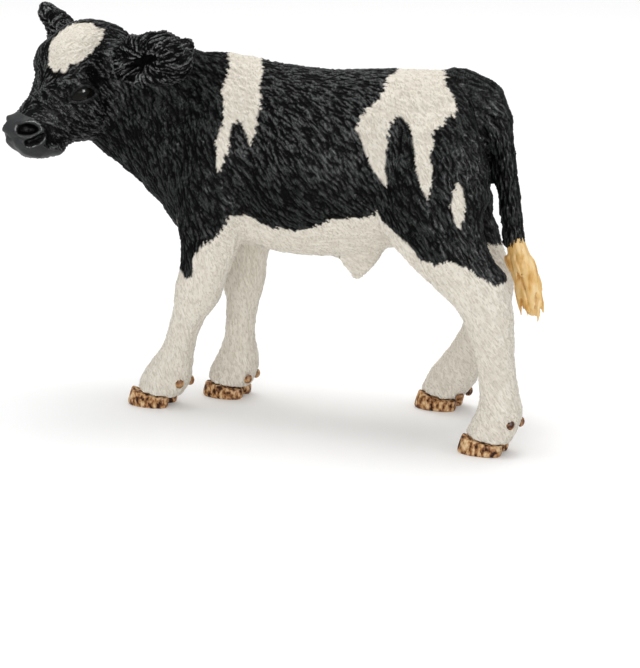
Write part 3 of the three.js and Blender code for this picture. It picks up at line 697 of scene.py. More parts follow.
# The rim round each opening: its height, how far outside the edge it runs, and its width. Then the
# pit inside: its depth, and how far inside the edge it starts and is full.
EYE_FORM = (0.12, 0.26, 0.20, 0.75, -0.03, 0.30)
NOSTRIL_FORM = (0.03, 0.35, 0.30, 1.0, -0.35, 0.6)
MOUTH_FORM = (0.05, 0.25, 0.20, 0.9, -0.15, 0.5)
FACE_LINES = [
    # points, height, which is less than zero in a groove, and width
    (LIP_LINE_PX, -0.16, 0.20),
    (LOWER_LIP_PX, 0.14, 0.28),
    (BROW_RIDGE_PX, 0.20, 0.36),
    (LID_FOLD_PX, -0.16, 0.25),
]
FAR_OUTSIDE = -9.0  # mm, for what lies on the far side of the face
# The strength of the painted shade along the lids
LID_DARKNESS = 0.62
# Where each of these starts and is full, in mm inside its outline; the dark ones are painted shade and the
# light one is painted light
BARE_LIDS = (-0.5, -0.25)
BARE_MUZZLE = (-0.25, 0.35)
DARK_PITS = (-0.30, 0.20)
DARK_LIDS = (-0.7, -0.4)
DARK_CANAL = (-0.1, 0.3)
LIGHT_CANAL = (-4.0, -0.8)
# The same for how far the skin faces the camera
EAR_FACING = (-0.15, 0.15)
FACE_FACING = (-0.05, 0.2)
PAINT_FACING = (-0.25, 0.05)
CREASE_FACING = (0.0, 0.3)


def opening(inside, form):
    """The form of the skin round and in an opening, from how far inside it each point lies."""
    rim, outside, width, pit, start, full = form
    return rim * bell(inside + outside, width) - pit * smoothstep(start, full, inside)


class Face:
    """Where each point of the skin lies among the features of the face, in mm."""

    def __init__(self, points, normals, owners):
        self.head = is_of(owners, "head")
        places = in_head(points)
        ways = normals @ HEAD_AXES.T
        self.side = np.sign(places[:, 1])
        mirror = np.where(places[:, 1] < 0, -1.0, 1.0)
        places[:, 1] *= mirror
        ways[:, 1] *= mirror
        self.seen = to_picture(from_head(places))
        facing = dot(ways @ HEAD_AXES, TO_CAMERA)
        self.front = smoothstep(*EAR_FACING, facing)
        self.facing = smoothstep(*FACE_FACING, facing) * self.head
        self.eye = self.inside(EYE_OPENING_PX)
        self.nostril = self.inside(NOSTRIL_PX)
        self.mouth = self.inside(MOUTH_PX)
        self.muzzle = self.inside(MUZZLE_PX)

    def inside(self, outline):
        depth = to_signed_distance(self.seen, outline) / PX_PER_MM
        return np.where(self.facing > 0, depth, FAR_OUTSIDE)

    def relief(self):
        """How far the skin is moved out of its plain surface, in mm."""
        total = opening(self.eye, EYE_FORM)
        total += opening(self.nostril, NOSTRIL_FORM)
        total += opening(self.mouth, MOUTH_FORM)
        for line, height, width in FACE_LINES:
            total += height * bell(to_line_distance(self.seen, line) / PX_PER_MM, width)
        return total * self.facing

    def smoothness(self):
        """1 on the bare skin of the muzzle and the lids, and 0 on the coat."""
        return np.where(self.head, np.maximum(self.bare(), smoothstep(*BARE_LIDS, self.eye)), 0.0)

    def bare(self):
        """1 on the bare skin of the muzzle."""
        return np.where(self.head, smoothstep(*BARE_MUZZLE, self.muzzle), 0.0)

    def pit_shade(self):
        """Painted shade in the nostrils and the mouth and along the lids, from 0 to 1."""
        holes = smoothstep(*DARK_PITS, np.maximum(self.nostril, self.mouth))
        return np.maximum(holes, LID_DARKNESS * smoothstep(*DARK_LIDS, self.eye))


# White patches on the side that the camera sees, in pixels of its picture
SHOULDER_STRIPE_PX = [
    (229, 40), (229, 57), (230, 65), (224, 84), (221, 92), (224, 103), (223, 124), (218, 134), (216, 142),
    (216, 159), (218, 173), (225, 159), (229, 145), (230, 126), (238, 121), (243, 126), (247, 134),
    (249, 146), (254, 134), (258, 119), (261, 98), (259, 86), (262, 73), (262, 57), (262, 40),
]
HIP_PATCH_PX = [
    (398, 50), (397, 71), (388, 76), (384, 90), (376, 103), (367, 107), (355, 128), (361, 140), (369, 163),
    (378, 176), (385, 187), (387, 185), (385, 170), (385, 155), (387, 137), (390, 124), (397, 116),
    (402, 117), (408, 125), (411, 137), (414, 152), (415, 170), (420, 185), (427, 200), (430, 194),
    (432, 170), (429, 159), (433, 146), (433, 131), (443, 125), (448, 117), (456, 116), (457, 103),
    (452, 94), (445, 85), (446, 77), (444, 69), (444, 50),
]
THIGH_SPOT_PX = [
    (458, 183), (463, 191), (465, 206), (464, 220), (460, 228), (456, 226), (453, 216), (450, 205),
    (453, 193),
]
STAR_PX = [
    (49, 45), (54, 37), (61, 31), (68, 26), (76, 23), (86, 22), (92, 23), (97, 28), (105, 29), (103, 35),
    (102, 40), (97, 45), (93, 52), (86, 57), (78, 64), (70, 64), (66, 71), (64, 73), (60, 70), (53, 72),
    (49, 66), (48, 61), (49, 52),
]
LOWER_WHITE_PX = [
    (150, 268), (181, 270), (184, 277), (187, 279), (192, 276), (193, 256), (197, 251), (204, 244),
    (216, 239), (220, 231), (225, 224), (229, 218), (237, 216), (249, 216), (265, 225), (275, 230),
    (277, 227), (285, 230), (295, 231), (315, 227), (329, 222), (334, 219), (351, 219), (374, 216),
    (377, 211), (381, 220), (394, 231), (401, 238), (412, 250), (418, 259), (436, 265), (449, 262),
    (469, 269), (478, 276), (488, 282), (496, 286), (504, 284), (511, 278), (514, 274), (560, 274),
    (560, 560), (100, 560), (100, 268),
]
# White patches on the other side, from the side: x and z in mm
FAR_STRIPE = [
    (-8, 60), (-8.2, 50), (-9, 46), (-8.6, 42), (-10, 38), (-10.2, 34), (-8.6, 31), (-7.4, 35), (-6.6, 39),
    (-5, 37), (-4.2, 33.5), (-3, 37), (-2.2, 42), (-3, 46), (-2.6, 50), (-2.6, 60),
]
FAR_HIP_PATCH = [
    (18.4, 60), (18.4, 51), (16.6, 48), (15.8, 45), (13, 42.5), (13.6, 39.5), (16, 36), (17.4, 32),
    (18.6, 36), (19.8, 40), (21.6, 41), (23, 37), (24.6, 33), (25.4, 29.8), (26.6, 34), (27.4, 39),
    (28.6, 43), (26.6, 46.5), (25.8, 49.5), (25.8, 60),
]
FAR_FLANK_SPOT = [(3.4, 41.5), (5.4, 42.3), (7, 40.5), (6.6, 38.2), (4.8, 36.2), (3.4, 37.6), (2.8, 39.6)]
FAR_LOWER_WHITE = [
    (-60, 25), (-25, 25.5), (-21, 26.5), (-18.5, 23.5), (-16.5, 24.5), (-15, 28.5), (-12, 31.5), (-8, 32),
    (-4, 30.2), (0, 29.2), (4, 29.8), (8, 28.9), (12, 30), (16, 31.4), (19, 30.4), (21.5, 27.6), (25, 26),
    (28, 26.6), (31, 25.4), (34, 25.8), (60, 26), (60, -20), (-60, -20),
]


ALL_BLACK = -3  # mm outside the white
STAR_HEIGHT = -4.5  # the star lies above this and to the left of the next, in the head's frame
STAR_SIDE = -3.2
STAR_FACING = -0.1
RIGHT_SIDE = 5  # the y from which the skin has the patches of the right side
LEFT_THIGH = (28, -1)  # the back of the left thigh lies behind this x and beyond this y
THIGH_WRAP = 0.5


def white_depth(points, normals, owners):
    """How far each point lies inside the white of the coat, in mm; less than zero is in the black."""
    seen = to_picture(points)
    near = most_inside(seen, SHOULDER_STRIPE_PX, HIP_PATCH_PX, THIGH_SPOT_PX, LOWER_WHITE_PX) / PX_PER_MM
    far = most_inside(points[:, [0, 2]], FAR_STRIPE, FAR_HIP_PATCH, FAR_FLANK_SPOT, FAR_LOWER_WHITE)
    # The photographed side ends where the skin turns away, and a little later at the back of the left thigh
    facing = dot(normals, TO_CAMERA)
    far_side = is_of(owners, "foreleg_right", "hind_leg_right") | (points[:, 1] > RIGHT_SIDE)
    left_back = (points[:, 1] < LEFT_THIGH[1]) & (points[:, 0] > LEFT_THIGH[0])
    share = smoothstep(*PAINT_FACING, np.where(far_side, -1, facing) + THIGH_WRAP * left_back)
    depth = near * share + far * (1 - share)
    depth[is_of(owners, "head", "neck", "tail", *EAR_NODES)] = ALL_BLACK
    _, across, above = in_head(points).T
    forehead = is_of(owners, "head") & (above > STAR_HEIGHT) & (across > STAR_SIDE)
    star = to_signed_distance(seen, STAR_PX) / PX_PER_MM
    return np.where(forehead & (facing > STAR_FACING), star, depth)


# Materials
def new_material(name, **plain):
    """A material, its wiring and its shader's sockets, with the values that are the same all over."""
    material = bpy.data.materials.new(name)
    material.use_nodes = True
    w = Wiring(material.node_tree)
    w.tree.nodes.clear()
    shader = w.node("BsdfPrincipled", **plain)
    w.node("OutputMaterial", Surface=shader.outputs[0])
    return material, w, shader.inputs


class Wiring:
    """Short names for the nodes that a material is built from."""

    def __init__(self, tree):
        self.tree = tree

    def feed(self, value, socket):
        """Link a socket to another node's, or set it to a number, a colour or a vector."""
        if hasattr(value, "is_output"):
            self.tree.links.new(value, socket)
        else:
            socket.default_value = (*value, 1) if socket.type == "RGBA" else value

    def node(self, kind, **sockets):
        """A new node with its sockets fed by name; an underscore stands for a space."""
        node = self.tree.nodes.new("ShaderNode" + kind)
        for name, value in sockets.items():
            self.feed(value, node.inputs[name.replace("_", " ")])
        return node

    def attribute(self, name):
        node = self.node("Attribute")
        node.attribute_name = name
        return node.outputs["Fac"]

    def noise(self, scale, detail, length=1.0, way=(0, 0, 1)):
        """Noise whose grains are `length` times as long along one way as they are wide."""
        turn = Vector(way).to_track_quat("Z", "Y").to_euler()
        place = self.node("TexCoord").outputs["Object"]
        mapping = self.node("Mapping", Vector=place, Rotation=turn, Scale=(1, 1, length))
        mapping.vector_type = "TEXTURE"
        noise = self.node("TexNoise", Vector=mapping.outputs[0], Scale=scale, Detail=detail)
        return noise.outputs["Fac"]

    def ramp(self, value, stops):
        node = self.node("ValToRGB", Fac=value)
        elements = node.color_ramp.elements
        while len(elements) < len(stops):
            elements.new(0.5)
        for element, (position, colour) in zip(elements, stops):
            element.position = position
            element.color = (*colour, 1) if hasattr(colour, "__len__") else (colour, colour, colour, 1)
        return node.outputs["Color"]

    def mix(self, share, first, second):
        node = self.node("Mix")
        node.data_type = "RGBA"
        for index, value in ((0, share), (6, first), (7, second)):
            self.feed(value, node.inputs[index])
        return node.outputs[2]

    def math(self, operation, first, second):
        node = self.node("Math")
        node.operation = operation
        self.feed(first, node.inputs[0])
        self.feed(second, node.inputs[1])
        return node.outputs[0]

    def bump(self, height, strength, distance):
        return self.node("Bump", Height=height, Strength=strength, Distance=distance).outputs["Normal"]


# Colours of the coat
BLACK_CREST = (0.046, 0.049, 0.049)
# Painted shade in the grooves of the black
BLACK_GROOVE = (0.0008, 0.0008, 0.0009)
BARE_BLACK = (0.030, 0.031, 0.032)
# The grey of the painted light on the black locks
SHEEN_BLACK = (0.27, 0.275, 0.275)
WHITE_CREST = (0.78, 0.735, 0.65)
# Painted shade in the grooves of the white
WHITE_GROOVE = (0.55, 0.50, 0.42)

# How glossy the lacquer is on the locks, on the bare skin and in the grooves
LOCK_GLOSS = (0.07, 0.07, 0.07)
BARE_GLOSS = (0.20, 0.20, 0.20)
GROOVE_GLOSS = (0.01, 0.01, 0.01)

# Grains to the metre
BLOTCH_SCALE = 260
HAIR_SCALE = 4500
HORN_SCALE = 1800
STRAW_SCALE = 900


def side_way(below):
    """The way of hair that lies at an angle below the level, seen from the side."""
    angle = math.radians(below)
    return (math.cos(angle), 0, -math.sin(angle))


# The main way of the hair on each part, how long a fine hair is to its width, and the share of a
# groove at which its painted shade begins and is full
COATS = {
    "body": (side_way(54), 3.2, 0.30, 0.72),
    "hind": (side_way(52), 3.6, 0.30, 0.72),
    "fore": (side_way(74), 3.6, 0.30, 0.72),
    "tail": (side_way(84), 3.6, 0.30, 0.72),
    "head": (tuple(-0.5 * NOSE - BROW), 2.6, 0.28, 0.70),
    "ear": ((0, 0, 1), 1.3, 0.22, 0.58),
}
COAT_OF_NODE = {
    "trunk": "body", "neck": "body", "head": "head", "ear_left": "ear", "ear_right": "ear", "tail": "tail",
    "foreleg_left": "fore", "foreleg_right": "fore", "hind_leg_left": "hind", "hind_leg_right": "hind",
}


def coat_material(part):
    way, length, groove_start, groove_full = COATS[part]
    material, w, inputs = new_material(part + "_coat", Specular_IOR_Level=0.03, Coat_Roughness=0.30)
    groove = w.attribute("groove")
    bare = w.attribute("bare")
    blotch = w.noise(BLOTCH_SCALE, 3)
    fine = w.noise(HAIR_SCALE, 1, length, way)
    # Painted highlights: a fine noise along the hair gives streaks of each lock more or less of the crest
    # colour, as glints
    glint = w.ramp(fine, [(0.40, 0.24), (0.60, 0.92)])
    hair = w.mix(glint, BLACK_GROOVE, w.mix(w.attribute("light"), BLACK_CREST, SHEEN_BLACK))
    # Painted shade: the grooves between the locks are painted darker, down to black
    valley = w.ramp(groove, [(groove_start, 0.0), (groove_full, 1.0)])
    black = w.mix(valley, w.mix(bare, hair, BARE_BLACK), BLACK_GROOVE)
    # Painted shade in the grooves of the white, stronger in random blotches, and painted shade along the
    # fine hairs
    paint = w.ramp(blotch, [(0.3, 0.55), (0.7, 1.0)])
    shade_in_grooves = w.math("MULTIPLY", w.ramp(groove, [(0.50, 0.0), (1.0, 0.75)]), paint)
    shade_in_grooves = w.math("MAXIMUM", shade_in_grooves, w.ramp(fine, [(0.36, 0.85), (0.50, 0.0)]))
    white = w.mix(shade_in_grooves, WHITE_CREST, WHITE_GROOVE)
    w.feed(w.mix(w.attribute("white"), black, white), inputs["Base Color"])
    w.feed(w.ramp(blotch, [(0.3, 0.42), (0.7, 0.54)]), inputs["Roughness"])
    w.feed(w.mix(valley, w.mix(bare, LOCK_GLOSS, BARE_GLOSS), GROOVE_GLOSS), inputs["Coat Weight"])
    w.feed(w.bump(fine, 0.7, 0.00014), inputs["Normal"])
    return material


def eye_material():
    tint = (0.004, 0.0035, 0.003)
    return new_material("eye_gloss", Base_Color=tint, Roughness=0.15, Specular_IOR_Level=0.10)[0]


HORN_TINTS = [
    (0.38, (0.030, 0.012, 0.006)), (0.46, (0.24, 0.10, 0.04)), (0.54, (0.50, 0.28, 0.12)),
    (0.66, (0.74, 0.55, 0.33)),
]
DARK_HORN_TINTS = [(0.38, (0.045, 0.017, 0.008)), (0.50, (0.26, 0.11, 0.04)), (0.64, (0.58, 0.36, 0.17))]
# Painted shade in the hollows of the horn
HORN_GROOVE = (0.04, 0.018, 0.009)


def horn_material(name, tints):
    material, w, inputs = new_material(name, Roughness=0.4, Specular_IOR_Level=0.11)
    streak = w.noise(HORN_SCALE, 5, 1.6)
    # Painted shade: the hollows of the horn are painted darker
    hollow_shade = w.ramp(w.attribute("groove"), [(0.3, 0.0), (0.8, 0.85)])
    w.feed(w.mix(hollow_shade, w.ramp(streak, tints), HORN_GROOVE), inputs["Base Color"])
    w.feed(w.bump(streak, 0.6, 0.0002), inputs["Normal"])
    return material


STRAW_TINTS = [(0.34, (0.58, 0.29, 0.06)), (0.48, (0.77, 0.49, 0.18)), (0.66, (0.86, 0.65, 0.34))]
# Painted shade between the strands
STRAW_GROOVE = (0.46, 0.22, 0.05)


def switch_material():
    material, w, inputs = new_material("straw_hair", Roughness=0.5, Specular_IOR_Level=0.10)
    tint = w.ramp(w.noise(STRAW_SCALE, 3, 2.8), STRAW_TINTS)
    # Painted shade: the hollows between the strands are painted darker
    shade_in_grooves = w.ramp(w.attribute("groove"), [(0.15, 0.0), (0.75, 0.9)])
    w.feed(w.mix(shade_in_grooves, tint, STRAW_GROOVE), inputs["Base Color"])
    return material


# Pieces
def open_loops(quads):
    """The open edges of a mesh as loops of points, each run so that a fan on it faces outward."""
    forward = {(a, b) for a, b in edges_of(quads).tolist()}
    after = {}
    for a, b in forward:
        if (b, a) not in forward:
            after.setdefault(b, []).append(a)
    loops = []
    while after:
        start = next(iter(after))
        loop, here = [start], start
        while True:
            following = after[here].pop()
            if not after[here]:
                del after[here]
            if following == start:
                break
            loop.append(following)
            here = following
            if here not in after:
                break
        loops.append(loop)
    return loops


def add_piece(name, points, faces, values, material, replaced, normals=None):
    mesh = mesh_from(points, faces, name)
    mesh.polygons.foreach_set("use_smooth", np.ones(len(mesh.polygons), bool))
    for key, value in values.items():
        mesh.attributes.new(key, "FLOAT", "POINT").data.foreach_set("value", value.astype(np.float32))
    if normals is not None:
        mesh.normals_split_custom_set_from_vertices(normals.tolist())
    mesh.materials.append(material)
    piece = new_object(name, mesh)
    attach(piece, "root")
    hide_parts(*replaced)


def compacted(quads):
    """The points that some quads use, and the quads numbered by these."""
    used, renumbered = np.unique(quads, return_inverse=True)
    return used, renumbered.reshape(-1, 4)


def add_part_of(name, points, quads, values, material, replaced, normals):
    """Some quads of a larger mesh as a piece of their own, each open edge closed by a fan."""
    used, quads = compacted(quads)
    points = points[used]
    middles, fans = [], []
    for loop in open_loops(quads):
        middle = len(points) + len(middles)
        middles.append(points[loop].mean(axis=0))
        fans.extend((a, b, middle) for a, b in zip(loop, loop[1:] + loop[:1]))
    extra = len(middles)
    if extra:
        points = np.concatenate([points, middles])
    faces = [quads, np.array(fans, np.int64).reshape(-1, 3)]
    values = {key: np.concatenate([value[used], np.zeros(extra)]) for key, value in values.items()}
    normals = np.concatenate([normals[used], np.tile((0.0, 0.0, 1.0), (extra, 1))])
    add_piece(name, points, faces, values, material, replaced, normals)


def hollowness(points, quads, rounds, full):
    """How deep in a valley each point lies, from 0 to 1, or how high on a crest, down to -1."""
    level = Neighbours(len(points), quads).smooth(points, rounds)
    return np.clip(dot(level - points, vertex_normals(points, quads)) / full, -1, 1)


EYE_MARGIN = 0.32  # how far the ball reaches under the lids
EYE_DOME = 1.35
EYE_FLOOR = -0.55
EYE_RISE = 0.74
EYE_ROUNDS = 4


def add_eye(name, side, face, points, normals, quads):
    """A glossy ball that shows between the lids."""
    chosen = (face.eye > -EYE_MARGIN) & (face.facing > 0) & (face.side == side)
    quads = quads[chosen[quads].all(axis=1)]
    share = np.clip((face.eye + EYE_MARGIN) / EYE_DOME, 0, 1)
    height = EYE_FLOOR + EYE_RISE * np.sqrt(1 - (1 - share) ** 2)
    used, quads = compacted(quads)
    points = raised(points, normals, height)[used]
    around = Neighbours(len(points), quads)
    edge = np.isin(np.arange(len(points)), sum(open_loops(quads), []))
    points = around.smooth(points, EYE_ROUNDS, np.where(edge, 0, 0.5)[:, None])
    points, quads, _ = subdivided(points, quads, np.zeros(len(quads), np.int32))
    normals = vertex_normals(points, quads)
    add_part_of(name + "_ball", points, quads, {}, eye_material(), [name], normals)


# Valleys of the body on its left side, in pixels of the picture: their lines, width and depth in mm.
# The right side mirrors them.
CREASES_PX = [
    ([(464, 86), (472, 98), (479, 118), (485, 142), (488, 166)], 0.55, 0.55),
    ([(262, 96), (259, 130), (252, 165), (243, 200)], 1.6, 0.30),
    ([(396, 140), (386, 175), (384, 205), (390, 232)], 1.3, 0.35),
    ([(186, 92), (181, 130), (179, 170), (184, 215)], 1.6, 0.25),
    ([(196, 232), (188, 250), (187, 272)], 0.9, 0.25),
    ([(432, 200), (448, 235), (470, 262), (494, 280)], 1.1, 0.30),
]
BODY_MIDDLE = 2.6  # the y of the plane that the body mirrors in

# Painted light: the locks of the head and of the upper flank are painted lighter, for the sheen that falls
# there
HEAD_LIGHT = 0.34
FLANK_LIGHT = 0.27
FLANK_HEIGHTS = (34, 41)  # the painted light of the flank starts and is full at these heights and places
FLANK_FRONT = (-6, -2)
FLANK_BACK = (25, 19)
LIGHT_SMOOTHING = 60
LOCK_PAINT = 0.55  # how far the paint at a point is that of its lock
PAINT_EDGE = 0.07  # half the width over which black and white meet


def creases(points, normals):
    mirror = np.ones_like(points)
    mirror[:, 1] = np.where(points[:, 1] > BODY_MIDDLE, -1, 1)
    places = points * mirror
    places[mirror[:, 1] < 0, 1] += 2 * BODY_MIDDLE
    seen = to_picture(places)
    total = np.zeros(len(points))
    for line, width, depth in CREASES_PX:
        total -= depth * bell(to_line_distance(seen, line) / PX_PER_MM, width)
    return total * smoothstep(*CREASE_FACING, dot(normals * mirror, TO_CAMERA))


def painted_sheen(points, owners):
    """Painted light: how much lighter than the deep black the locks of the upper flank and the head are
    painted, from 0 to 1, for the sheen that falls there.
    """
    along, _, height = points.T
    flank = smoothstep(*FLANK_HEIGHTS, height) * smoothstep(*FLANK_FRONT, along)
    flank = flank * smoothstep(*FLANK_BACK, along)
    return HEAD_LIGHT * is_of(owners, "head") + FLANK_LIGHT * flank * is_of(owners, "trunk")


def build_skin():
    points, quads, nodes = subdivided(*make_skin())
    owners = node_of_vertex(len(points), quads, nodes)
    normals = vertex_normals(points, quads)
    face = Face(points, normals, owners)
    add_eye("eye_left", 1, face, points, normals, quads)
    add_eye("eye_right", -1, face, points, normals, quads)
    smoothness = face.smoothness()
    # Painted shade in the nostrils, the mouth and along the lids
    pit_shade = face.pit_shade()
    # Painted light on the locks of the flank and the head
    light = painted_sheen(points, owners)
    body = is_of(owners, "trunk", "neck", "tail", *LEG_NODES)
    relief = np.where(body, creases(points, normals), face.relief())
    ears = is_of(owners, *EAR_NODES)
    hole = to_signed_distance(face.seen, EAR_HOLE_PX) / PX_PER_MM
    relief = np.where(ears, opening(hole, CANAL_FORM) * face.front, relief)
    # Painted shade in the hollow of the ear
    pit_shade = np.where(ears, smoothstep(*DARK_CANAL, hole) * face.front, pit_shade)
    # Painted light: the locks round the hollow of the ear are painted lighter
    near_hole = EAR_LEAST_LIGHT + (1 - EAR_LEAST_LIGHT) * smoothstep(*LIGHT_CANAL, hole)
    light = np.where(ears, near_hole * face.front, light)
    points = raised(points, normals, relief)
    normals = vertex_normals(points, quads)
    locks = Locks(points, normals, owners, smoothness)
    height, lock = locks.carve(points)
    ways = on_skin(flow(points, owners), normals)
    around = Neighbours(len(points), quads)
    light = around.smooth(light, LIGHT_SMOOTHING)
    comb = combed(points, ways, around)
    height = np.clip(height * (1 - COMB_SHARE / 2) + (comb - 0.5) * COMB_SHARE + COMB_SHARE / 4, 0, 1)
    depth = locks.depth[lock] * (1 - smoothness)
    # The edge of the white keeps to whole locks
    where = points * (1 - LOCK_PAINT) + locks.places[lock] * LOCK_PAINT
    white = smoothstep(-PAINT_EDGE, PAINT_EDGE, white_depth(where, normals, owners))
    carved = raised(points, normals, depth * (height - 1 + LOCK_PROUD))
    # The groove holds the depth between the locks and the painted shade of the pits; the coats paint shade
    # in the grooves from it
    groove = np.maximum((1 - height) * (1 - smoothness), pit_shade)
    return {
        "points": carved, "quads": quads, "nodes": nodes, "normals": vertex_normals(carved, quads),
        "values": {"white": white, "groove": groove, "bare": face.bare(), "light": light},
    }


def add_skin_pieces():
    skin = build_skin()
    coats = {part: coat_material(part) for part in COATS}
    points, quads = skin["points"], skin["quads"]

    def add(name, chosen, node):
        coat = coats[COAT_OF_NODE[node]]
        add_part_of(name, points, quads[chosen], skin["values"], coat, [node], skin["normals"])

    for index, node in enumerate(SKIN_NODES):
        here = skin["nodes"] == index
        if node == "trunk":
            front = points[quads[:, 0], 0] < TRUNK_SPLIT
            add("forequarters", here & front, node)
            add("hindquarters", here & ~front, node)
        else:
            add(node + "_skin", here, node)


DEWCLAW_SHIFTS = {
    "front_left_inner": (-0.45, 0, -0.50), "front_left_outer": (-0.70, 0, -0.20),
    "front_right_inner": (0.05, 0, 0.20), "front_right_outer": (-0.05, 0, 0.15),
    "hind_left_inner": (-0.20, 0, -0.30), "hind_left_outer": (-0.70, 0, 0.05),
    "hind_right_inner": (-0.35, 0, -0.25), "hind_right_outer": (-0.05, 0, -0.20),
}
CLAW = (0.13, 9, 0.14)  # size of a voxel, rounds of smoothing and growth
DEWCLAW = (0.12, 3, 0.12)
HORN_GROOVE_MM = 0.02
HORN_GROOVE_ROUNDS = 3


def add_smooth_copy(node, form, material, shift=(0, 0, 0)):
    """A smoothed copy of a CAD solid, set a little deeper into the skin by the shift."""
    voxel, rounds, grow = form
    solids, faces, _ = cad_solids([node], grow)
    points, quads = remeshed(solids + shift, faces, voxel)
    points = Neighbours(len(points), quads).smooth(points, rounds)
    points[:, 2] = np.maximum(points[:, 2], 0)
    values = {"groove": hollowness(points, quads, HORN_GROOVE_ROUNDS, HORN_GROOVE_MM)}
    add_piece(node + "_horn", points, quads, values, material, [node])


def add_feet():
    horn = horn_material("horn", HORN_TINTS)
    dark = horn_material("dark_horn", DARK_HORN_TINTS)
    for foot in FEET:
        for side in ("inner", "outer"):
            toe = f"{foot}_{side}"
            add_smooth_copy(toe + "_claw", CLAW, horn)
            add_smooth_copy(toe + "_dewclaw", DEWCLAW, dark, DEWCLAW_SHIFTS[toe])


# The switch at the end of the tail
STRANDS = 120
TOP_STRANDS = 26  # how many of them start on the tail's end
STRAND_SIDES = 6
STRAND_RINGS = 12
STRAND_RADIUS = 0.30
SWITCH_LEVELS = 16
SWITCH_VOXEL = 0.13
SWITCH_TOP = 26.4
TAIL_END = (35.75, 2.63, 28.4)
TAIL_END_RADIUS = 1.70
COLLAR_RADIUS = 1.35
SWITCH_CORE = -0.55
BRUSH_SHARE = 0.70  # how far down the switch it begins to keep its width
STRAND_SPREAD = (0.75, 1.25)
TOP_STARTS = (0.0, 0.07)  # where strands start, and how long they are, as shares of the switch
LOW_STARTS = (0.06, 0.68)
STRAND_SPANS = (0.24, 0.40)
STRAND_DRIFT = 0.22
STRAND_DEPTHS = (0.1, 1.2)
STRAND_TURN = 0.06
STRAND_SINK = 0.8  # how much deeper a strand starts than it ends, in its radii
STRAND_ROOT = 0.35  # its width where it starts, as a share; it is full at the next share of its length
STRAND_SWELL = 0.25
STRAND_TAPER = 0.62
TAPER_START = 0.60
RING_DROP = 0.01  # keeps the rings of a strand apart at the end of the switch
LEAST_REACH = 0.4  # the half width of the switch where none is found
LEAST_OUT = 0.05
TAIL_END_FADE = (0.10, 0.25)
SWITCH_FOOT = 0.2
SECTION_REACH = 1.5
COLLAR_LEVELS = 4
COLLAR_SIDES = 16
STRAW_GROOVE_MM = 0.06
STRAW_GROOVE_ROUNDS = 6


def tube(path, radii, sides):
    """A closed tube along a path, as points and triangles."""
    ways = unit(np.gradient(path, axis=0))
    across = unit(np.cross(ways, (0.0, 1.0, 0.0)))
    beside = np.cross(ways, across)
    turns = np.arange(sides) * 2 * math.pi / sides
    ring = np.cos(turns)[:, None, None] * across + np.sin(turns)[:, None, None] * beside
    points = (path + ring * radii[None, :, None]).transpose(1, 0, 2).reshape(-1, 3)
    count = len(path)
    triangles = []
    for row in range(count - 1):
        for side in range(sides):
            a, b = row * sides + side, row * sides + (side + 1) % sides
            triangles += [(a, b, b + sides), (a, b + sides, a + sides)]
    first, last = len(points), len(points) + 1
    for side in range(sides):
        after = (side + 1) % sides
        triangles.append((first, after, side))
        triangles.append((last, (count - 1) * sides + side, (count - 1) * sides + after))
    return np.concatenate([points, path[:1], path[-1:]]), np.array(triangles)


def section_middle(tree, z, guess):
    """The middle of a solid's section at a height."""
    middle = np.array([guess[0], guess[1], z])
    for _ in range(3):
        for axis in (0, 1):
            way = np.eye(3)[axis]
            reach = [tree.ray_cast(Vector(middle), Vector(way * sign))[3] or 0 for sign in (1, -1)]
            middle[axis] += (reach[0] - reach[1]) / 2
    return middle


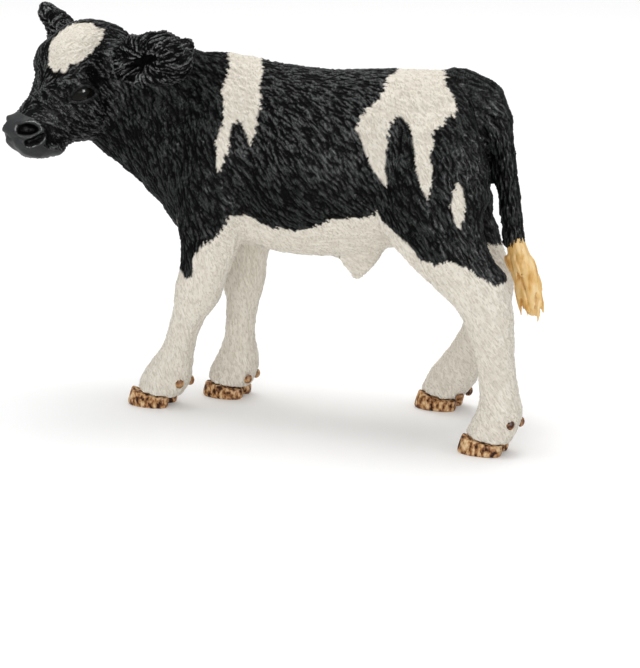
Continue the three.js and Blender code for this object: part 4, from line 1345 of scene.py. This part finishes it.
def add_switch():
    solids, faces, _ = cad_solids(["tail_switch"])
    tree = BVHTree.FromPolygons(solids.tolist(), faces.tolist())
    bottom = solids[:, 2].min() + SWITCH_FOOT
    middles = [TAIL_END]
    for z in np.linspace(SWITCH_TOP, bottom, SWITCH_LEVELS - 1):
        near = solids[np.abs(solids[:, 2] - z) < SECTION_REACH]
        middles.append(section_middle(tree, z, (near.min(axis=0) + near.max(axis=0)) / 2))
    middles = np.array(middles)
    levels = np.linspace(0, 1, SWITCH_LEVELS)

    def middle_at(share):
        return np.array([np.interp(share, levels, middles[:, axis]) for axis in range(3)])

    core, core_faces, _ = cad_solids(["tail_switch"], SWITCH_CORE)
    collar = tube(middles[:COLLAR_LEVELS], np.full(COLLAR_LEVELS, COLLAR_RADIUS), COLLAR_SIDES)
    parts = [(core, core_faces), collar]
    for strand in range(STRANDS):
        top = strand < TOP_STRANDS
        angle = 2 * math.pi * (strand / TOP_STRANDS if top else rng.uniform(0, 1))
        angle += rng.normal(0, STRAND_TURN)
        start_share = rng.uniform(*(TOP_STARTS if top else LOW_STARTS))
        span = rng.uniform(*STRAND_SPANS)
        drift = rng.normal(0, STRAND_DRIFT)
        depth = rng.uniform(*STRAND_DEPTHS)
        radius = STRAND_RADIUS * rng.uniform(*STRAND_SPREAD)
        path, radii = [], []
        for share in np.linspace(0, 1, STRAND_RINGS):
            down = min(start_share + share * span, 1)
            turn = angle + drift * share
            way = Vector((math.cos(turn), math.sin(turn), 0))
            widest = middle_at(min(down, BRUSH_SHARE))
            reach = tree.ray_cast(Vector(widest), way)[3] or LEAST_REACH
            reach = max(reach, TAIL_END_RADIUS * (1 - smoothstep(*TAIL_END_FADE, down)))
            sink = radius * (depth + STRAND_SINK * (1 - share))
            path.append(middle_at(down) + np.array(way) * max(reach - sink, LEAST_OUT))
            swell = STRAND_ROOT + (1 - STRAND_ROOT) * min(share / STRAND_SWELL, 1)
            radii.append(radius * swell * (1 - STRAND_TAPER * smoothstep(TAPER_START, 1.0, share)))
        path = np.array(path) - np.outer(np.arange(STRAND_RINGS), (0, 0, RING_DROP))
        parts.append(tube(path, np.array(radii), STRAND_SIDES))
    points, quads = remeshed(*joined(parts), SWITCH_VOXEL)
    points = Neighbours(len(points), quads).smooth(points, 2)
    values = {"groove": hollowness(points, quads, STRAW_GROOVE_ROUNDS, STRAW_GROOVE_MM)}
    add_piece("tail_tuft", points, quads, values, switch_material(), ["tail_switch"])


# Stage
FLOOR_SPAN = 6.0
FLOOR_WHITE = (0.93, 0.93, 0.93)
FLOOR_LIFT = 0.08  # how much brighter the camera sees the floor, so that it runs out into white
WORLD_STRENGTH = 0.61


def seen_rays(w):
    """1 for a ray that shows the background, straight or in a reflection or glass, and otherwise 0."""
    path = w.node("LightPath").outputs
    either = w.math("MAXIMUM", path["Is Camera Ray"], path["Is Glossy Ray"])
    return w.math("MAXIMUM", either, path["Is Transmission Ray"])


def floor_material():
    material, w, _ = new_material("floor", Base_Color=FLOOR_WHITE, Roughness=1, Specular_IOR_Level=0)
    nodes = w.tree.nodes
    glow = w.node("Emission", Strength=w.math("MULTIPLY", seen_rays(w), FLOOR_LIFT))
    both = w.node("AddShader")
    w.feed(nodes["Principled BSDF"].outputs[0], both.inputs[0])
    w.feed(glow.outputs[0], both.inputs[1])
    w.feed(both.outputs[0], nodes["Material Output"].inputs[0])
    return material


def make_floor():
    mesh = bpy.data.meshes.new("floor")
    half = FLOOR_SPAN / 2
    corners = [(-half, -half, 0), (half, -half, 0), (half, half, 0), (-half, half, 0)]
    mesh.from_pydata(corners, [], [(0, 1, 2, 3)])
    mesh.materials.append(floor_material())
    new_object("floor", mesh)


def make_world():
    world = bpy.data.worlds.new("world")
    bpy.context.scene.world = world
    world.use_nodes = True
    w = Wiring(world.node_tree)
    w.tree.nodes.clear()
    mixer = w.node("MixShader", Fac=seen_rays(w))
    for socket, strength in ((1, WORLD_STRENGTH), (2, 1)):
        light = w.node("Background", Color=(1, 1, 1), Strength=strength)
        w.feed(light.outputs[0], mixer.inputs[socket])
    w.node("OutputWorld", Surface=mixer.outputs[0])


LAMPS = [
    # name, where it stands, its width and height, and its power in watts
    ("top", (-0.04, 0.10, 0.75), (0.50, 0.50), 3.1),
    ("front", (0.10, -0.63, 0.17), (0.50, 0.26), 1.15),
    ("glint", (0.50, -0.44, 0.30), (0.27, 0.42), 21.0),
]
LAMP_AIM = (0, 0, 0.028)
GLINT_LAMP = "glint"  # shows in gloss alone


def make_lamps():
    for name, place, (width, height), power in LAMPS:
        data = bpy.data.lights.new(name, "AREA")
        data.shape = "RECTANGLE"
        data.size = width
        data.size_y = height
        data.energy = power
        lamp = new_object(name, data)
        aim(lamp, place, Vector(LAMP_AIM) - Vector(place))
        lamp.visible_diffuse = name != GLINT_LAMP


make_camera()
add_skin_pieces()
add_feet()
add_switch()
make_floor()
make_world()
make_lamps()
bpy.context.scene.view_settings.view_transform = "Standard"
